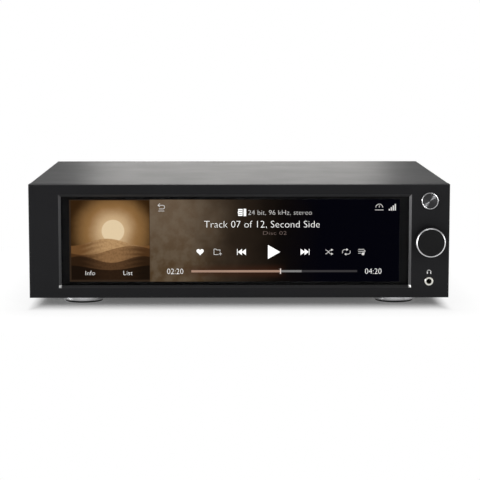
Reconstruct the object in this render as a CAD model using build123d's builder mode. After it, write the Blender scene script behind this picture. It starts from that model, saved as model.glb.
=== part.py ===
from build123d import *
import math
import os

# A desktop network music streamer: an aluminium case with a wide touch screen, a volume knob,
# a power button and a headphone socket in front, and its sockets and mains switch behind.
# Lengths are millimetres. X runs to the right as seen from the front, Y to the rear and Z up.
# The origin lies on the table, under the middle of the whole outline, knob and sockets included.

os.makedirs("parts", exist_ok=True)

# Case
case_width = 278.0
case_depth = 202.0
panel_height = 75.4
panel_thickness = 10.0
edge_break = 0.4
cover_wall = 3.0
rib_side = 6.0
rib_front_gap = 3.0
rib_screw_inset = 14.0
base_thickness = 2.0
sheet_gap = 0.15
panel_tongue = 6.0
rear_thickness = 2.5
rear_inset = 1.0

# Window and display
window_left_border = 19.6
window_right_border = 25.2
window_border = 6.7
bevel = 1.5
lip = 0.4
glass_overlap = 1.5
glass_gap = 0.3
glass_corner = 1.5
glass_thickness = 1.8
gasket_thickness = 0.3
gasket_width = 1.2
cell_gap = 0.4
cell_thickness = 1.6
cell_side_inset = 4.5
cell_top_inset = 0.8
tray_side_inset = 2.5
tray_top_inset = 0.3
tray_sheet = 0.8
guide_gap = 0.2

# Display bracket and board
bracket_sheet = 1.2
bracket_side_lip = 5.0
bracket_top_lip = 1.0
bracket_flange = 5.0
bracket_screw_spacing = 22.0
boss_radius = 2.5
boss_height = 3.0
display_board_width = 86.0
display_board_height = 36.0
board_thickness = 1.6
board_hole_inset = 4.0
ribbon_width = 30.0
ribbon_thickness = 0.4
ribbon_bend = 1.5
ribbon_slot_gap = 1.0
ribbon_drop = 6.0
ribbon_stand = 3.0

# Screws
screw_radius = 1.5
screw_head_radius = 2.8
screw_head_height = 1.7
screw_key_radius = 1.2
screw_key_depth = 1.0
screw_reach = 5.0
screw_gap = 0.2
thread_gap = 0.05
flat_screw_share = 0.85
tongue_screw_shares = (-0.8, -0.27, 0.27, 0.8)
small_screw_radius = 1.25
small_head_radius = 2.2
small_head_height = 1.4
small_key_radius = 0.9
small_key_depth = 0.8
small_screw_reach = 4.0

# Feet
foot_height = 5.4
foot_radius = 14.0
foot_side_inset = 34.0
foot_end_inset = 26.0
foot_chamfer = 0.5
pad_radius = 12.8
pad_proud = 1.2
pad_sink = 1.0
foot_screw_radius = 2.0
foot_head_radius = 3.6
foot_head_height = 2.0
foot_screw_reach = 0.5

# Controls beside the window
control_inset = 13.2
control_border = 10.9
knob_radius = 9.6
knob_proud = 10.0
knob_back_gap = 0.6
knob_chamfer = 0.9
knob_cap = 3.0
shaft_radius = 3.0
shaft_flat = 1.0
shaft_fit = 0.05
grub_radius = 1.5
grub_length = 4.0
nut_web = 5.0
nut_pocket_radius = 7.0
nut_radius = 5.6
nut_thickness = 2.0
bush_radius = 3.5
bush_stand = 0.8
bush_gap = 0.15
encoder_width = 12.5
encoder_height = 13.2
encoder_depth = 6.8
shaft_seat = 3.0

button_radius = 5.5
button_gap = 0.2
button_proud = 1.2
button_rim = 0.3
button_travel = 0.8
button_flange_radius = 6.6
button_flange_thickness = 1.2
button_shoulder = 6.0
guide_radius = 7.0
guide_gap_radius = 0.2
guide_thickness = 1.4
stem_radius = 2.0
switch_side = 6.0
switch_depth = 3.5
plunger_radius = 1.75
plunger_stand = 1.0
plunger_sunk = 0.7

jack_ring_radius = 2.85
jack_ring_proud = 0.4
jack_bore_radius = 1.8
jack_tube_radius = 2.5
jack_ring_depth = 4.0
jack_depth = 15.0
jack_body_width = 7.0
jack_body_height = 9.0
jack_pocket_gap = 0.4

control_board_width = 11.0
control_board_inset = 7.0

# Circuit boards on the floor
standoff_height = 8.0
standoff_radius = 3.0
board_end_gap = 2.0
board_side_gap = 2.0
supply_zone = 70.0
audio_zone = 60.0
main_board_depth = 96.0
audio_board_depth = 78.0
supply_board_gap = 3.5
supply_board_setback = 36.0

# Transformer, capacitors and heat sink
coil_radius = 31.0
coil_hole_radius = 11.0
coil_height = 30.0
coil_corner = 8.0
coil_setback = 50.0
clamp_radius = 22.0
clamp_thickness = 1.6
clamp_bolt_radius = 3.0
clamp_head_radius = 6.0
clamp_head_height = 3.0
capacitor_radius = 8.0
capacitor_height = 28.0
capacitor_gap = 3.0
capacitor_rim = 0.8
sink_side = 42.0
sink_base = 3.0
sink_height = 20.0
sink_fin = 1.6
sink_fin_spacing = 4.4
sink_setback = 42.0
chip_side = 24.0
chip_height = 2.0
shield_width = 40.0
shield_depth = 34.0
shield_height = 12.0
shield_corner = 1.0
shield_setback = 40.0

# Rear sockets
socket_proud = 0.5
socket_gap = 0.3
lan_width = 16.0
lan_height = 13.5
lan_depth = 21.0
lan_mouth_width = 11.8
lan_mouth_height = 8.0
lan_mouth_depth = 13.0
lan_latch_width = 4.0
lan_latch_height = 2.0
lan_floor = 1.8
usb_width = 14.6
usb_height = 16.6
usb_depth = 17.5
usb_mouth_width = 12.5
usb_mouth_height = 5.2
usb_mouth_depth = 9.5
usb_tongue_width = 11.0
usb_tongue_height = 1.8
usb_web = 2.6
video_width = 15.2
video_height = 6.4
video_depth = 12.0
video_mouth_width = 14.0
video_mouth_height = 4.6
video_mouth_depth = 9.0
video_corner = 1.5
video_tongue_width = 10.6
video_tongue_height = 1.2
port_gap_shares = (0.15, 0.13, 0.14, 0.14, 0.21)

optical_width = 11.4
optical_height = 12.4
optical_depth = 14.0
optical_mouth = 9.4
optical_mouth_depth = 11.0
shutter_thickness = 0.7
shutter_gap = 0.35
shutter_setback = 1.4
shutter_barrel_radius = 0.6
shutter_pin_radius = 0.4
shutter_pin_length = 0.75

rca_radius = 4.15
rca_proud = 10.0
rca_flange_radius = 6.2
rca_flange_thickness = 1.6
rca_thread_radius = 3.9
rca_depth = 8.0
rca_bore_radius = 3.3
rca_fit = 0.03
rca_contact_radius = 1.65
rca_contact_depth = 8.0
rca_recess = 0.6
rca_side_inset = 30.0
rca_spacing_x = 28.0
rca_spacing_z = 24.0
rca_low_height = 20.0
coax_height = 10.0

inlet_side_inset = 34.0
inlet_height = 32.0
inlet_ear = 5.0
inlet_flange_height = 24.0
inlet_flange_thickness = 2.5
inlet_flange_corner = 4.0
inlet_body_width = 28.0
inlet_body_height = 20.6
inlet_body_depth = 19.0
inlet_mouth_width = 24.6
inlet_mouth_height = 17.0
inlet_mouth_depth = 16.0
inlet_corner = 5.0
inlet_screw_spacing = 40.0
inlet_pin_width = 2.0
inlet_pin_height = 4.0
inlet_pin_short = 2.0
inlet_pin_spread = 7.0
inlet_pin_drop = 2.0

rocker_spacing = 38.0
rocker_bezel_width = 15.5
rocker_bezel_height = 21.0
rocker_bezel_thickness = 2.0
rocker_bezel_corner = 1.2
rocker_body_width = 13.0
rocker_body_height = 18.6
rocker_body_depth = 14.0
rocker_width = 10.0
rocker_radius = 8.0
rocker_gap = 0.3
rocker_pivot_depth = 2.6
rocker_face = 2.6
rocker_tilt = 10.0
trunnion_radius = 1.0
trunnion_length = 1.0
trunnion_end_gap = 0.15
trunnion_fit = 0.05

# Vent slots
vent_length = 20.0
vent_width = 2.6
vent_spacing = 6.4
vent_margin = 8.0
rear_vent_drop = 17.0
floor_vent_length = 26.0

# Places worked out from the sizes
half_width = case_width / 2
floor_z = foot_height
top_z = floor_z + panel_height
mid_z = floor_z + panel_height / 2
base_top_z = floor_z + base_thickness
cover_under_z = top_z - cover_wall
inner_half_width = half_width - cover_wall

whole_length = knob_proud + case_depth + rca_proud - rear_inset
front_y = knob_proud - whole_length / 2
panel_back_y = front_y + panel_thickness
cover_rear_y = front_y + case_depth
rear_face_y = cover_rear_y - rear_inset
rear_inner_y = rear_face_y - rear_thickness
cover_length = cover_rear_y - panel_back_y

window_width = case_width - window_left_border - window_right_border
window_height = panel_height - 2 * window_border
window_x = (window_left_border - window_right_border) / 2
opening_width = window_width - 2 * bevel
opening_height = window_height - 2 * bevel
glass_width = opening_width + 2 * glass_overlap
glass_height = opening_height + 2 * glass_overlap
pocket_width = glass_width + 2 * glass_gap
pocket_height = glass_height + 2 * glass_gap
pocket_floor_y = front_y + bevel + lip
glass_front_y = pocket_floor_y + gasket_thickness
glass_back_y = glass_front_y + glass_thickness
cell_front_y = glass_back_y + cell_gap
cell_back_y = cell_front_y + cell_thickness

controls_x = half_width - control_inset
button_z = top_z - control_border
jack_z = floor_z + control_border
control_board_y = panel_back_y + encoder_depth
rib_front_y = control_board_y + board_thickness + rib_front_gap
rib_length = rear_inner_y - rib_front_y

board_bottom_z = base_top_z + standoff_height
board_top_z = board_bottom_z + board_thickness
board_rear_y = rear_inner_y - board_end_gap


def facing_front(x, y, z):
    """A plane that looks at the person in front: local x is right and local y is up."""
    return Plane(origin=(x, y, z), x_dir=(1, 0, 0), z_dir=(0, -1, 0))


def facing_rear(x, y, z):
    """A plane that looks out of the rear: local x runs to the left of the object, local y is up."""
    return Plane(origin=(x, y, z), x_dir=(-1, 0, 0), z_dir=(0, 1, 0))


def facing_down(x, y, z):
    """A plane that looks at the table."""
    return Plane(origin=(x, y, z), x_dir=(1, 0, 0), z_dir=(0, 0, -1))


def facing_up(x, y, z):
    """A plane that looks at the ceiling."""
    return Plane(origin=(x, y, z), x_dir=(1, 0, 0), z_dir=(0, 0, 1))


def facing_right(x, y, z):
    """A plane that looks to the right of the object: local x runs to the rear, local y is up."""
    return Plane(origin=(x, y, z), x_dir=(0, 1, 0), z_dir=(1, 0, 0))


def facing_left(x, y, z):
    """A plane that looks to the left of the object: local x runs to the front, local y is up."""
    return Plane(origin=(x, y, z), x_dir=(0, -1, 0), z_dir=(-1, 0, 0))


def save(piece, name):
    """Labels a finished piece and writes it."""
    piece.part.label = name
    export_step(piece.part, f"parts/{name}.step")


def head_screws(name, seats, reach, radius, head_radius, head_height, key_radius, key_depth):
    """Round-headed socket screws, one on each seat plane, with the head on the plane's outer side."""
    with BuildPart() as screws:
        with BuildSketch(*seats):
            Circle(radius)
        extrude(amount=-reach)
        with BuildSketch(*seats):
            Circle(head_radius)
        extrude(amount=head_height)
        with BuildSketch(*[seat.offset(head_height) for seat in seats]):
            RegularPolygon(key_radius, 6)
        extrude(amount=-key_depth, mode=Mode.SUBTRACT)
    save(screws, name)


def plate(name, plane, width, height, thickness, holes, hole_radius):
    """A flat board with round holes, centred on the plane and extruded to its outer side."""
    with BuildPart() as board:
        with BuildSketch(plane):
            Rectangle(width, height)
            with Locations(*holes):
                Circle(hole_radius, mode=Mode.SUBTRACT)
        extrude(amount=thickness)
    save(board, name)


def corner_spots(width, height, far_inset):
    """The four screw holes of a board: the far pair may stand further in, ahead of its sockets."""
    reach = width / 2 - board_hole_inset
    ends = (board_hole_inset - height / 2, height / 2 - far_inset)
    return [(side * reach, end) for side in (-1, 1) for end in ends]


# Screw seats shared by the pieces they join
rib_x = inner_half_width - rib_side / 2
rib_mid_y = (rib_front_y + rear_inner_y) / 2
rib_screw_ys = (rib_front_y + rib_screw_inset, rib_mid_y, rear_inner_y - rib_screw_inset)
rib_seats = [facing_down(side * rib_x, y, floor_z) for side in (-1, 1) for y in rib_screw_ys]

tongue_y = panel_back_y - panel_tongue / 2
under_window = (panel_height - pocket_height) / 2
flat_screw_length = under_window * flat_screw_share
tongue_xs = [half_width * share for share in tongue_screw_shares]
tongue_seats = [facing_down(x, tongue_y, floor_z) for x in tongue_xs]

rib_end_zs = (base_top_z + rib_side / 2, cover_under_z - rib_side / 2)
rib_end_seats = [facing_rear(side * rib_x, rear_face_y, z) for side in (-1, 1) for z in rib_end_zs]

foot_x = half_width - foot_side_inset
foot_front_y = front_y + foot_end_inset
foot_rear_y = cover_rear_y - foot_end_inset
foot_places = {
    "front_left": (-foot_x, foot_front_y),
    "front_right": (foot_x, foot_front_y),
    "rear_left": (-foot_x, foot_rear_y),
    "rear_right": (foot_x, foot_rear_y),
}

bracket_screw_x = pocket_width / 2 + bracket_side_lip / 2
bracket_spots = [
    (side * bracket_screw_x, step * bracket_screw_spacing) for side in (-1, 1) for step in (-1, 0, 1)
]
bracket_back_y = panel_back_y + bracket_sheet

# Front panel: a milled slab with a bevelled window, a glass pocket behind it and three controls
with BuildPart() as front_panel:
    with BuildSketch(facing_front(0, front_y, mid_z)):
        Rectangle(case_width, panel_height)
    extrude(amount=-panel_thickness)
    chamfer(front_panel.faces().sort_by(Axis.Y)[0].edges(), edge_break)
    with BuildSketch(facing_front(window_x, front_y, mid_z)):
        Rectangle(opening_width, opening_height)
    extrude(amount=-panel_thickness, mode=Mode.SUBTRACT)
    chamfer(front_panel.faces().sort_by(Axis.Y)[0].inner_wires()[0].edges(), bevel)
    with BuildSketch(facing_front(window_x, pocket_floor_y, mid_z)):
        RectangleRounded(pocket_width, pocket_height, glass_corner + glass_gap)
    extrude(amount=-(panel_thickness - bevel - lip), mode=Mode.SUBTRACT)
    with BuildSketch(facing_front(controls_x, front_y, button_z)):
        Circle(button_radius + button_gap)
    extrude(amount=-panel_thickness, mode=Mode.SUBTRACT)
    with BuildSketch(facing_front(controls_x, front_y + button_shoulder, button_z)):
        Circle(guide_radius)
    extrude(amount=-(panel_thickness - button_shoulder), mode=Mode.SUBTRACT)
    with BuildSketch(facing_front(controls_x, front_y, mid_z)):
        Circle(bush_radius + bush_gap)
    extrude(amount=-panel_thickness, mode=Mode.SUBTRACT)
    with BuildSketch(facing_front(controls_x, front_y, mid_z)):
        Circle(nut_pocket_radius)
    extrude(amount=-(panel_thickness - nut_web), mode=Mode.SUBTRACT)
    with BuildSketch(facing_front(controls_x, front_y, jack_z)):
        Circle(jack_ring_radius + thread_gap)
    extrude(amount=-panel_thickness, mode=Mode.SUBTRACT)
    with BuildSketch(facing_front(controls_x, front_y + jack_ring_depth, jack_z)):
        Rectangle(jack_body_width + 2 * jack_pocket_gap, jack_body_height + 2 * jack_pocket_gap)
    extrude(amount=-(panel_thickness - jack_ring_depth), mode=Mode.SUBTRACT)
    with BuildSketch(facing_front(window_x, panel_back_y, mid_z)):
        with Locations(*bracket_spots):
            Circle(small_screw_radius + thread_gap)
    extrude(amount=small_screw_reach, mode=Mode.SUBTRACT)
    with BuildSketch(facing_front(0, panel_back_y, floor_z + base_thickness / 2)):
        Rectangle(2 * inner_half_width, base_thickness)
    extrude(amount=panel_tongue + sheet_gap, mode=Mode.SUBTRACT)
    with Locations(*tongue_seats):
        Hole(screw_radius + thread_gap, depth=flat_screw_length)
save(front_panel, "front_panel")

# Top cover: a U of aluminium with a square rib along each inner corner to take the screws
with BuildPart() as top_cover:
    with BuildSketch(facing_front(0, panel_back_y, mid_z)):
        Rectangle(case_width, panel_height)
        with Locations((0, -cover_wall)):
            Rectangle(2 * inner_half_width, panel_height, mode=Mode.SUBTRACT)
    extrude(amount=-cover_length)
    chamfer(top_cover.edges().filter_by(Axis.Y).group_by(Axis.Z)[-1], edge_break)
    rib_zs = [z - mid_z for z in rib_end_zs]
    with BuildSketch(facing_front(0, rib_front_y, mid_z)):
        with Locations(*[(side * rib_x, z) for side in (-1, 1) for z in rib_zs]):
            Rectangle(rib_side, rib_side)
    extrude(amount=-rib_length)
    with Locations(*rib_seats):
        Hole(screw_radius + thread_gap, depth=flat_screw_length)
    with Locations(*[seat.offset(-rear_thickness) for seat in rib_end_seats]):
        Hole(screw_radius + thread_gap, depth=screw_reach)
save(top_cover, "top_cover")

# Base plate: closes the case from below and runs into the front panel as a tongue
base_width = 2 * (inner_half_width - sheet_gap)
base_front_y = panel_back_y - panel_tongue
base_rear_y = rear_inner_y - sheet_gap
base_mid_y = (base_front_y + base_rear_y) / 2
rib_inner_x = inner_half_width - rib_side
supply_mid_x = supply_zone / 2 - rib_inner_x
audio_mid_x = rib_inner_x - audio_zone / 2
main_board_width = 2 * rib_inner_x - supply_zone - audio_zone - 2 * board_side_gap
main_board_x = (supply_zone - audio_zone) / 2
floor_vent_count = int((rib_length - 2 * foot_end_inset) / vent_spacing)
with BuildPart() as base_plate:
    with BuildSketch(facing_down(0, base_mid_y, base_top_z)):
        Rectangle(base_width, base_rear_y - base_front_y)
    extrude(amount=base_thickness)
    with BuildSketch(facing_down(main_board_x, base_mid_y, base_top_z)):
        with GridLocations(floor_vent_length + vent_margin, vent_spacing, 2, floor_vent_count):
            SlotOverall(floor_vent_length, vent_width)
    extrude(amount=base_thickness, mode=Mode.SUBTRACT)
    with Locations(*rib_seats, *tongue_seats):
        CounterSinkHole(
            screw_radius + screw_gap, screw_head_radius, depth=base_thickness, counter_sink_angle=90
        )
    with Locations(*[facing_down(x, y, floor_z) for x, y in foot_places.values()]):
        Hole(foot_screw_radius + thread_gap, depth=base_thickness)
save(base_plate, "base_plate")


def countersunk_screws(name, seats, length):
    """Flat-headed socket screws whose heads lie flush with their seat planes."""
    cone_height = screw_head_radius - screw_radius
    cone_top = screw_head_radius - screw_gap
    outward = (Align.CENTER, Align.CENTER, Align.MAX)
    with BuildPart() as screws:
        with Locations(*seats):
            Cylinder(screw_radius, length, align=outward)
            Cone(screw_radius, cone_top, cone_height - screw_gap, align=outward)
        with BuildSketch(*seats):
            RegularPolygon(screw_key_radius, 6)
        extrude(amount=-screw_key_depth, mode=Mode.SUBTRACT)
    save(screws, name)


countersunk_screws("base_screws", rib_seats + tongue_seats, flat_screw_length - thread_gap)

# Rear panel: stands between the cover's walls, with a cut-out for each socket and a row of vents
port_widths = (lan_width, usb_width, video_width, optical_width, 2 * rca_flange_radius)
free_width = main_board_width - sum(port_widths)
port_xs = []
port_edge_x = main_board_x - main_board_width / 2
for port_width, gap_share in zip(port_widths, port_gap_shares):
    port_edge_x += gap_share * free_width
    port_xs.append(port_edge_x + port_width / 2)
    port_edge_x += port_width
lan_x, usb_x, video_x, optical_x, coax_x = port_xs
line_in_x = inner_half_width - rca_side_inset
line_out_x = line_in_x - rca_spacing_x
rca_low_z = base_top_z + rca_low_height
rca_high_z = rca_low_z + rca_spacing_z
coax_z = board_top_z + coax_height
inlet_flange_width = inlet_screw_spacing + 2 * inlet_ear
inlet_x = inlet_side_inset - inner_half_width
inlet_z = base_top_z + inlet_height
rocker_x = inlet_x + rocker_spacing

line_out_seats = [facing_rear(line_out_x, rear_face_y, z) for z in (rca_low_z, rca_high_z)]
line_in_seats = [facing_rear(line_in_x, rear_face_y, z) for z in (rca_low_z, rca_high_z)]
coax_seat = facing_rear(coax_x, rear_face_y, coax_z)
inlet_seat = facing_rear(inlet_x, rear_face_y, inlet_z)
rocker_seat = facing_rear(rocker_x, rear_face_y, inlet_z)
inlet_screw_seats = [
    facing_rear(inlet_x + side * inlet_screw_spacing / 2, rear_face_y, inlet_z) for side in (-1, 1)
]

rear_height = cover_under_z - sheet_gap - floor_z
rear_mid_z = floor_z + rear_height / 2
rear_plane = facing_rear(0, rear_inner_y, 0)
rear_vent_count = int((main_board_width - 2 * vent_margin) / vent_spacing)
board_ports = [
    (lan_x, lan_width, lan_height),
    (usb_x, usb_width, usb_height),
    (video_x, video_width, video_height),
    (optical_x, optical_width, optical_height),
]
with BuildPart() as rear_panel:
    with BuildSketch(rear_plane):
        with Locations((0, rear_mid_z)):
            Rectangle(base_width, rear_height)
        for port_x, port_width, port_height in board_ports:
            with Locations((-port_x, board_top_z + port_height / 2)):
                Rectangle(
                    port_width + 2 * socket_gap, port_height + 2 * socket_gap, mode=Mode.SUBTRACT
                )
        with Locations((-inlet_x, inlet_z)):
            Rectangle(
                inlet_body_width + 2 * socket_gap,
                inlet_body_height + 2 * socket_gap,
                mode=Mode.SUBTRACT,
            )
        with Locations((-rocker_x, inlet_z)):
            Rectangle(
                rocker_body_width + 2 * socket_gap,
                rocker_body_height + 2 * socket_gap,
                mode=Mode.SUBTRACT,
            )
        with Locations((-main_board_x, cover_under_z - rear_vent_drop)):
            with GridLocations(vent_spacing, 0, rear_vent_count, 1):
                SlotOverall(vent_length, vent_width, rotation=90, mode=Mode.SUBTRACT)
    extrude(amount=rear_thickness)
    with Locations(*line_out_seats, *line_in_seats, coax_seat):
        Hole(rca_thread_radius + screw_gap, depth=rear_thickness)
    with Locations(*rib_end_seats):
        Hole(screw_radius + screw_gap, depth=rear_thickness)
    with Locations(*inlet_screw_seats):
        Hole(screw_radius + thread_gap, depth=rear_thickness)
save(rear_panel, "rear_panel")

head_screws(
    "rear_screws",
    rib_end_seats + [seat.offset(inlet_flange_thickness) for seat in inlet_screw_seats],
    rear_thickness + screw_reach - thread_gap,
    screw_radius,
    screw_head_radius,
    screw_head_height,
    screw_key_radius,
    screw_key_depth,
)

# Feet: turned aluminium discs, each with a rubber pad below and one screw up into the base plate
disc_bottom_z = pad_proud
pad_top_z = pad_proud + pad_sink
head_top_z = pad_top_z + foot_head_height
for place, (x, y) in foot_places.items():
    with BuildPart() as foot:
        with BuildSketch(facing_down(x, y, floor_z)):
            Circle(foot_radius)
        extrude(amount=floor_z - disc_bottom_z)
        chamfer(foot.faces().sort_by(Axis.Z)[0].edges(), foot_chamfer)
        with BuildSketch(facing_up(x, y, disc_bottom_z)):
            Circle(pad_radius)
        extrude(amount=pad_sink, mode=Mode.SUBTRACT)
        with BuildSketch(facing_up(x, y, pad_top_z)):
            Circle(foot_head_radius + screw_gap)
        extrude(amount=foot_head_height, mode=Mode.SUBTRACT)
        with BuildSketch(facing_up(x, y, head_top_z)):
            Circle(foot_screw_radius + screw_gap)
        extrude(amount=floor_z - head_top_z, mode=Mode.SUBTRACT)
    save(foot, f"foot_{place}")

with BuildPart() as foot_pads:
    with BuildSketch(Plane.XY):
        with Locations(*foot_places.values()):
            Circle(pad_radius)
    extrude(amount=pad_top_z)
    chamfer(foot_pads.faces().group_by(Axis.Z)[0].edges(), foot_chamfer)
save(foot_pads, "foot_pads")

foot_screw_seats = [facing_down(x, y, head_top_z) for x, y in foot_places.values()]
head_screws(
    "foot_screws",
    foot_screw_seats,
    floor_z - head_top_z + base_thickness + foot_screw_reach,
    foot_screw_radius,
    foot_head_radius,
    foot_head_height,
    screw_key_radius,
    screw_key_depth,
)

# Display: gasket, cover glass, liquid-crystal cell, light guide and tray stand in the panel's pocket
with BuildPart() as display_gasket:
    with BuildSketch(facing_front(window_x, pocket_floor_y, mid_z)):
        RectangleRounded(glass_width, glass_height, glass_corner)
        Rectangle(
            glass_width - 2 * gasket_width, glass_height - 2 * gasket_width, mode=Mode.SUBTRACT
        )
    extrude(amount=-gasket_thickness)
save(display_gasket, "display_gasket")

with BuildPart() as cover_glass:
    with BuildSketch(facing_front(window_x, glass_front_y, mid_z)):
        RectangleRounded(glass_width, glass_height, glass_corner)
    extrude(amount=-glass_thickness)
save(cover_glass, "cover_glass")

cell_width = glass_width - 2 * cell_side_inset
cell_height = glass_height - 2 * cell_top_inset
with BuildPart() as lcd_cell:
    with BuildSketch(facing_front(window_x, cell_front_y, mid_z)):
        Rectangle(cell_width, cell_height)
    extrude(amount=-cell_thickness)
save(lcd_cell, "lcd_cell")

tray_width = glass_width - 2 * tray_side_inset
tray_height = glass_height - 2 * tray_top_inset
tray_depth = panel_back_y - cell_back_y
with BuildPart() as backlight_tray:
    with BuildSketch(facing_front(window_x, cell_back_y, mid_z)):
        Rectangle(tray_width, tray_height)
    extrude(amount=-tray_depth)
    with BuildSketch(facing_front(window_x, cell_back_y, mid_z)):
        Rectangle(tray_width - 2 * tray_sheet, tray_height - 2 * tray_sheet)
    extrude(amount=-(tray_depth - tray_sheet), mode=Mode.SUBTRACT)
save(backlight_tray, "backlight_tray")

guide_inset = tray_sheet + guide_gap
with BuildPart() as light_guide:
    with BuildSketch(facing_front(window_x, cell_back_y, mid_z)):
        Rectangle(tray_width - 2 * guide_inset, tray_height - 2 * guide_inset)
    extrude(amount=-(tray_depth - tray_sheet))
save(light_guide, "light_guide")

# Display bracket: a flanged sheet that clamps the tray and carries the display's own board
bracket_width = pocket_width + 2 * bracket_side_lip
bracket_height = pocket_height + 2 * bracket_top_lip
display_board_spots = corner_spots(display_board_width, display_board_height, board_hole_inset)
display_board_y = bracket_back_y + boss_height
ribbon_slot_z = mid_z - display_board_height / 2 - ribbon_drop
with BuildPart() as display_bracket:
    with BuildSketch(facing_front(window_x, panel_back_y, mid_z)):
        Rectangle(bracket_width, bracket_height)
        with Locations(*bracket_spots):
            Circle(small_screw_radius + screw_gap, mode=Mode.SUBTRACT)
        with Locations((0, ribbon_slot_z - mid_z)):
            Rectangle(
                ribbon_width + 2 * ribbon_slot_gap,
                ribbon_thickness + 2 * ribbon_slot_gap,
                mode=Mode.SUBTRACT,
            )
    extrude(amount=-bracket_sheet)
    with BuildSketch(facing_front(window_x, bracket_back_y, mid_z)):
        flange_rise = (bracket_height - bracket_sheet) / 2
        with Locations((0, flange_rise), (0, -flange_rise)):
            Rectangle(tray_width, bracket_sheet)
    extrude(amount=-bracket_flange)
    with BuildSketch(facing_front(window_x, bracket_back_y, mid_z)):
        with Locations(*display_board_spots):
            Circle(boss_radius)
            Circle(small_screw_radius + thread_gap, mode=Mode.SUBTRACT)
    extrude(amount=-boss_height)
save(display_bracket, "display_bracket")

bracket_seats = [facing_rear(window_x + x, bracket_back_y, mid_z + z) for x, z in bracket_spots]
head_screws(
    "bracket_screws",
    bracket_seats,
    bracket_sheet + small_screw_reach - thread_gap,
    small_screw_radius,
    small_head_radius,
    small_head_height,
    small_key_radius,
    small_key_depth,
)

plate(
    "display_board",
    facing_rear(window_x, display_board_y, mid_z),
    display_board_width,
    display_board_height,
    board_thickness,
    display_board_spots,
    small_screw_radius + screw_gap,
)

# Display ribbon: runs back from the tray through the bracket's slot, then up behind the board
ribbon_back_y = display_board_y + board_thickness + ribbon_stand
ribbon_top_z = mid_z
ribbon_low_z = ribbon_slot_z - ribbon_thickness / 2
with BuildPart() as display_ribbon:
    with BuildSketch(facing_right(window_x - ribbon_width / 2, 0, 0)) as ribbon_profile:
        with BuildLine():
            Polyline(
                (panel_back_y, ribbon_low_z),
                (ribbon_back_y, ribbon_low_z),
                (ribbon_back_y, ribbon_top_z),
                (display_board_y + board_thickness, ribbon_top_z),
                (display_board_y + board_thickness, ribbon_top_z - ribbon_thickness),
                (ribbon_back_y - ribbon_thickness, ribbon_top_z - ribbon_thickness),
                (ribbon_back_y - ribbon_thickness, ribbon_low_z + ribbon_thickness),
                (panel_back_y, ribbon_low_z + ribbon_thickness),
                close=True,
            )
        make_face()
        fillet(ribbon_profile.vertices().group_by(Axis.X)[-1], ribbon_bend + ribbon_thickness)
        fillet(ribbon_profile.vertices().group_by(Axis.X)[-2], ribbon_bend)
    extrude(amount=ribbon_width)
save(display_ribbon, "display_ribbon")

# Volume knob: a turned cap with a bright chamfer, held on the encoder's shaft by a grub screw
knob_front_y = front_y - knob_proud
knob_back_y = front_y - knob_back_gap
knob_length = knob_back_y - knob_front_y
shaft_front_y = knob_front_y + knob_cap
grub_y = (shaft_front_y + knob_back_y) / 2
with BuildPart() as volume_knob:
    with BuildSketch(facing_front(controls_x, knob_back_y, mid_z)):
        Circle(knob_radius)
    extrude(amount=knob_length)
    chamfer(volume_knob.faces().sort_by(Axis.Y)[0].edges(), knob_chamfer)
    with BuildSketch(facing_front(controls_x, knob_back_y, mid_z)):
        Circle(shaft_radius + shaft_fit)
        with Locations((0, -shaft_radius)):
            Rectangle(2 * shaft_radius, 2 * shaft_flat, mode=Mode.SUBTRACT)
    extrude(amount=knob_length - knob_cap, mode=Mode.SUBTRACT)
    with Locations(facing_down(controls_x, grub_y, mid_z - knob_radius)):
        Hole(grub_radius + thread_gap, depth=knob_radius - shaft_radius + shaft_flat)
save(volume_knob, "volume_knob")

grub_top_z = mid_z - shaft_radius + shaft_flat - shaft_fit
with BuildPart() as knob_grub_screw:
    with BuildSketch(facing_down(controls_x, grub_y, grub_top_z)):
        Circle(grub_radius)
    extrude(amount=grub_length)
    with BuildSketch(facing_down(controls_x, grub_y, grub_top_z - grub_length)):
        RegularPolygon(small_key_radius, 6)
    extrude(amount=-small_key_depth, mode=Mode.SUBTRACT)
save(knob_grub_screw, "knob_grub_screw")

# Encoder: a body behind the panel, a threaded bush through it, a nut under the knob and a shaft
bush_length = nut_web + nut_thickness + bush_stand
bush_front_y = panel_back_y - bush_length
with BuildPart() as encoder_body:
    with BuildSketch(facing_front(controls_x, panel_back_y, mid_z)):
        Rectangle(encoder_width, encoder_height)
    extrude(amount=-encoder_depth)
    with BuildSketch(facing_front(controls_x, panel_back_y, mid_z)):
        Circle(bush_radius)
    extrude(amount=bush_length)
    with BuildSketch(facing_front(controls_x, bush_front_y, mid_z)):
        Circle(shaft_radius + shaft_fit)
    extrude(amount=-(bush_length + shaft_seat + thread_gap), mode=Mode.SUBTRACT)
save(encoder_body, "encoder_body")

nut_back_y = panel_back_y - nut_web
with BuildPart() as encoder_nut:
    with BuildSketch(facing_front(controls_x, nut_back_y, mid_z)):
        RegularPolygon(nut_radius, 6)
        Circle(bush_radius + thread_gap, mode=Mode.SUBTRACT)
    extrude(amount=nut_thickness)
save(encoder_nut, "encoder_nut")

with BuildPart() as encoder_shaft:
    with BuildSketch(facing_front(controls_x, panel_back_y + shaft_seat, mid_z)):
        Circle(shaft_radius)
    extrude(amount=panel_back_y + shaft_seat - shaft_front_y)
    with BuildSketch(facing_front(controls_x, shaft_front_y, mid_z)):
        with Locations((0, -shaft_radius)):
            Rectangle(2 * shaft_radius, 2 * shaft_flat)
    extrude(amount=-(knob_length - knob_cap), mode=Mode.SUBTRACT)
save(encoder_shaft, "encoder_shaft")

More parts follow.
